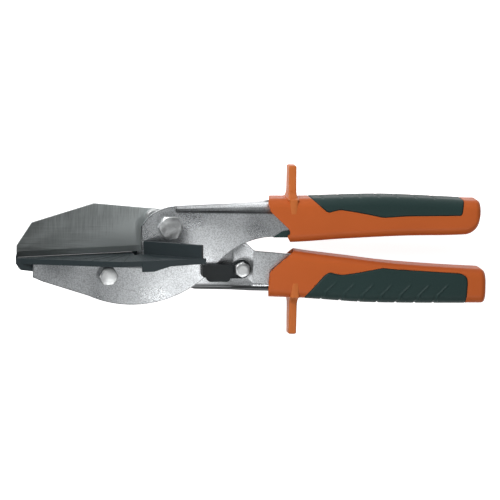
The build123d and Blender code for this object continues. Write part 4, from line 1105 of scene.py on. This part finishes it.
def studio_world():
    """A dim studio: the ceiling is darker than the white backdrop, which shows to the camera everywhere and
    to reflections from the floor up to just over the horizon."""
    world = bpy.data.worlds.new("studio")
    world.use_nodes = True
    tree = world.node_tree
    background = tree.nodes["Background"]
    place = add_node(tree, "TexCoord").outputs["Generated"]
    height = add_node(tree, "SeparateXYZ", {}, {"Vector": place})
    light = add_node(tree, "LightPath")
    low = add_node(tree, "Math", {"operation": "LESS_THAN", 1: HORIZON}, {0: height.outputs["Z"]})
    mirrored = add_node(
        tree, "Math", {"operation": "MULTIPLY"}, {0: light.outputs["Is Glossy Ray"], 1: low.outputs["Value"]}
    )
    white = add_node(
        tree,
        "Math",
        {"operation": "MAXIMUM"},
        {0: light.outputs["Is Camera Ray"], 1: mirrored.outputs["Value"]},
    )
    mix = add_node(
        tree, "Mix", {"data_type": "RGBA", 6: (*CEILING, 1.0), 7: WHITE}, {0: white.outputs["Value"]}
    )
    tree.links.new(mix.outputs[2], background.inputs["Color"])
    background.inputs["Strength"].default_value = 1.0
    return world


class SHEARS_OT_stage(bpy.types.Operator):
    """Makes the floor, the lights and the camera"""

    bl_idname = "shears.stage"
    bl_label = "Stage"

    def execute(self, context):
        scene = context.scene
        scene.view_settings.view_transform = "Standard"
        mesh = bpy.data.meshes.new("studio_floor")
        height = cad_low.z - FLOOR_GAP
        corners = [(FLOOR_HALF * x, FLOOR_HALF * y, height) for x, y in ((-1, -1), (1, -1), (1, 1), (-1, 1))]
        mesh.from_pydata(corners, [], [(0, 1, 2, 3)])
        floor = add_object("studio_floor", mesh)
        mesh.materials.append(white_floor(tuple(scene.shears_colours.floor)))
        scene.world = studio_world()
        for lamp in LAMPS:
            add_area(*lamp)
        back = Vector((CAMERA_LEAN_X, CAMERA_LEAN_Y, 1.0)).normalized()
        up = Vector((0.0, 1.0, -CAMERA_LEAN_Y)).normalized()
        right = up.cross(back).normalized()
        data = bpy.data.cameras.new("camera")
        data.lens = CAMERA_LENS
        distance = CAMERA_FIELD * MM * CAMERA_LENS / data.sensor_width
        camera = add_object("camera", data)
        spot = Vector(to_frame([CAMERA_AIM])[0]) + back * distance
        turn = Matrix((right, up, back)).transposed().to_4x4()
        camera.matrix_world = Matrix.Translation(spot) @ turn
        data.clip_end = CLIP_END
        scene.camera = camera
        return {"FINISHED"}


class SHEARS_PT_panel(bpy.types.Panel):
    """Lists the operators that dress the tool"""

    bl_label = "Mitre shears"
    bl_idname = "SHEARS_PT_panel"
    bl_space_type = "VIEW_3D"
    bl_region_type = "UI"
    bl_category = "Shears"

    def draw(self, context):
        for name in ORDER:
            self.layout.operator(f"shears.{name}")
        for group in (context.scene.shears_sizes, context.scene.shears_colours):
            for key in group.__annotations__:
                self.layout.prop(group, key)


ORDER = ("stage", "levers", "blade", "anvil", "fasteners", "latch", "grips")
CLASSES = (
    ShearsSizes,
    ShearsColours,
    SHEARS_OT_stage,
    SHEARS_OT_levers,
    SHEARS_OT_blade,
    SHEARS_OT_anvil,
    SHEARS_OT_fasteners,
    SHEARS_OT_latch,
    SHEARS_OT_grips,
    SHEARS_PT_panel,
)


def register():
    """Registers the classes and hangs the settings on the scene."""
    for kind in CLASSES:
        bpy.utils.register_class(kind)
    bpy.types.Scene.shears_sizes = PointerProperty(type=ShearsSizes)
    bpy.types.Scene.shears_colours = PointerProperty(type=ShearsColours)


def unregister():
    """Undoes register."""
    del bpy.types.Scene.shears_colours
    del bpy.types.Scene.shears_sizes
    for kind in reversed(CLASSES):
        bpy.utils.unregister_class(kind)


def main():
    """Dresses the tool."""
    register()
    for name in ORDER:
        getattr(bpy.ops.shears, name)()


if __name__ == "__main__":
    main()
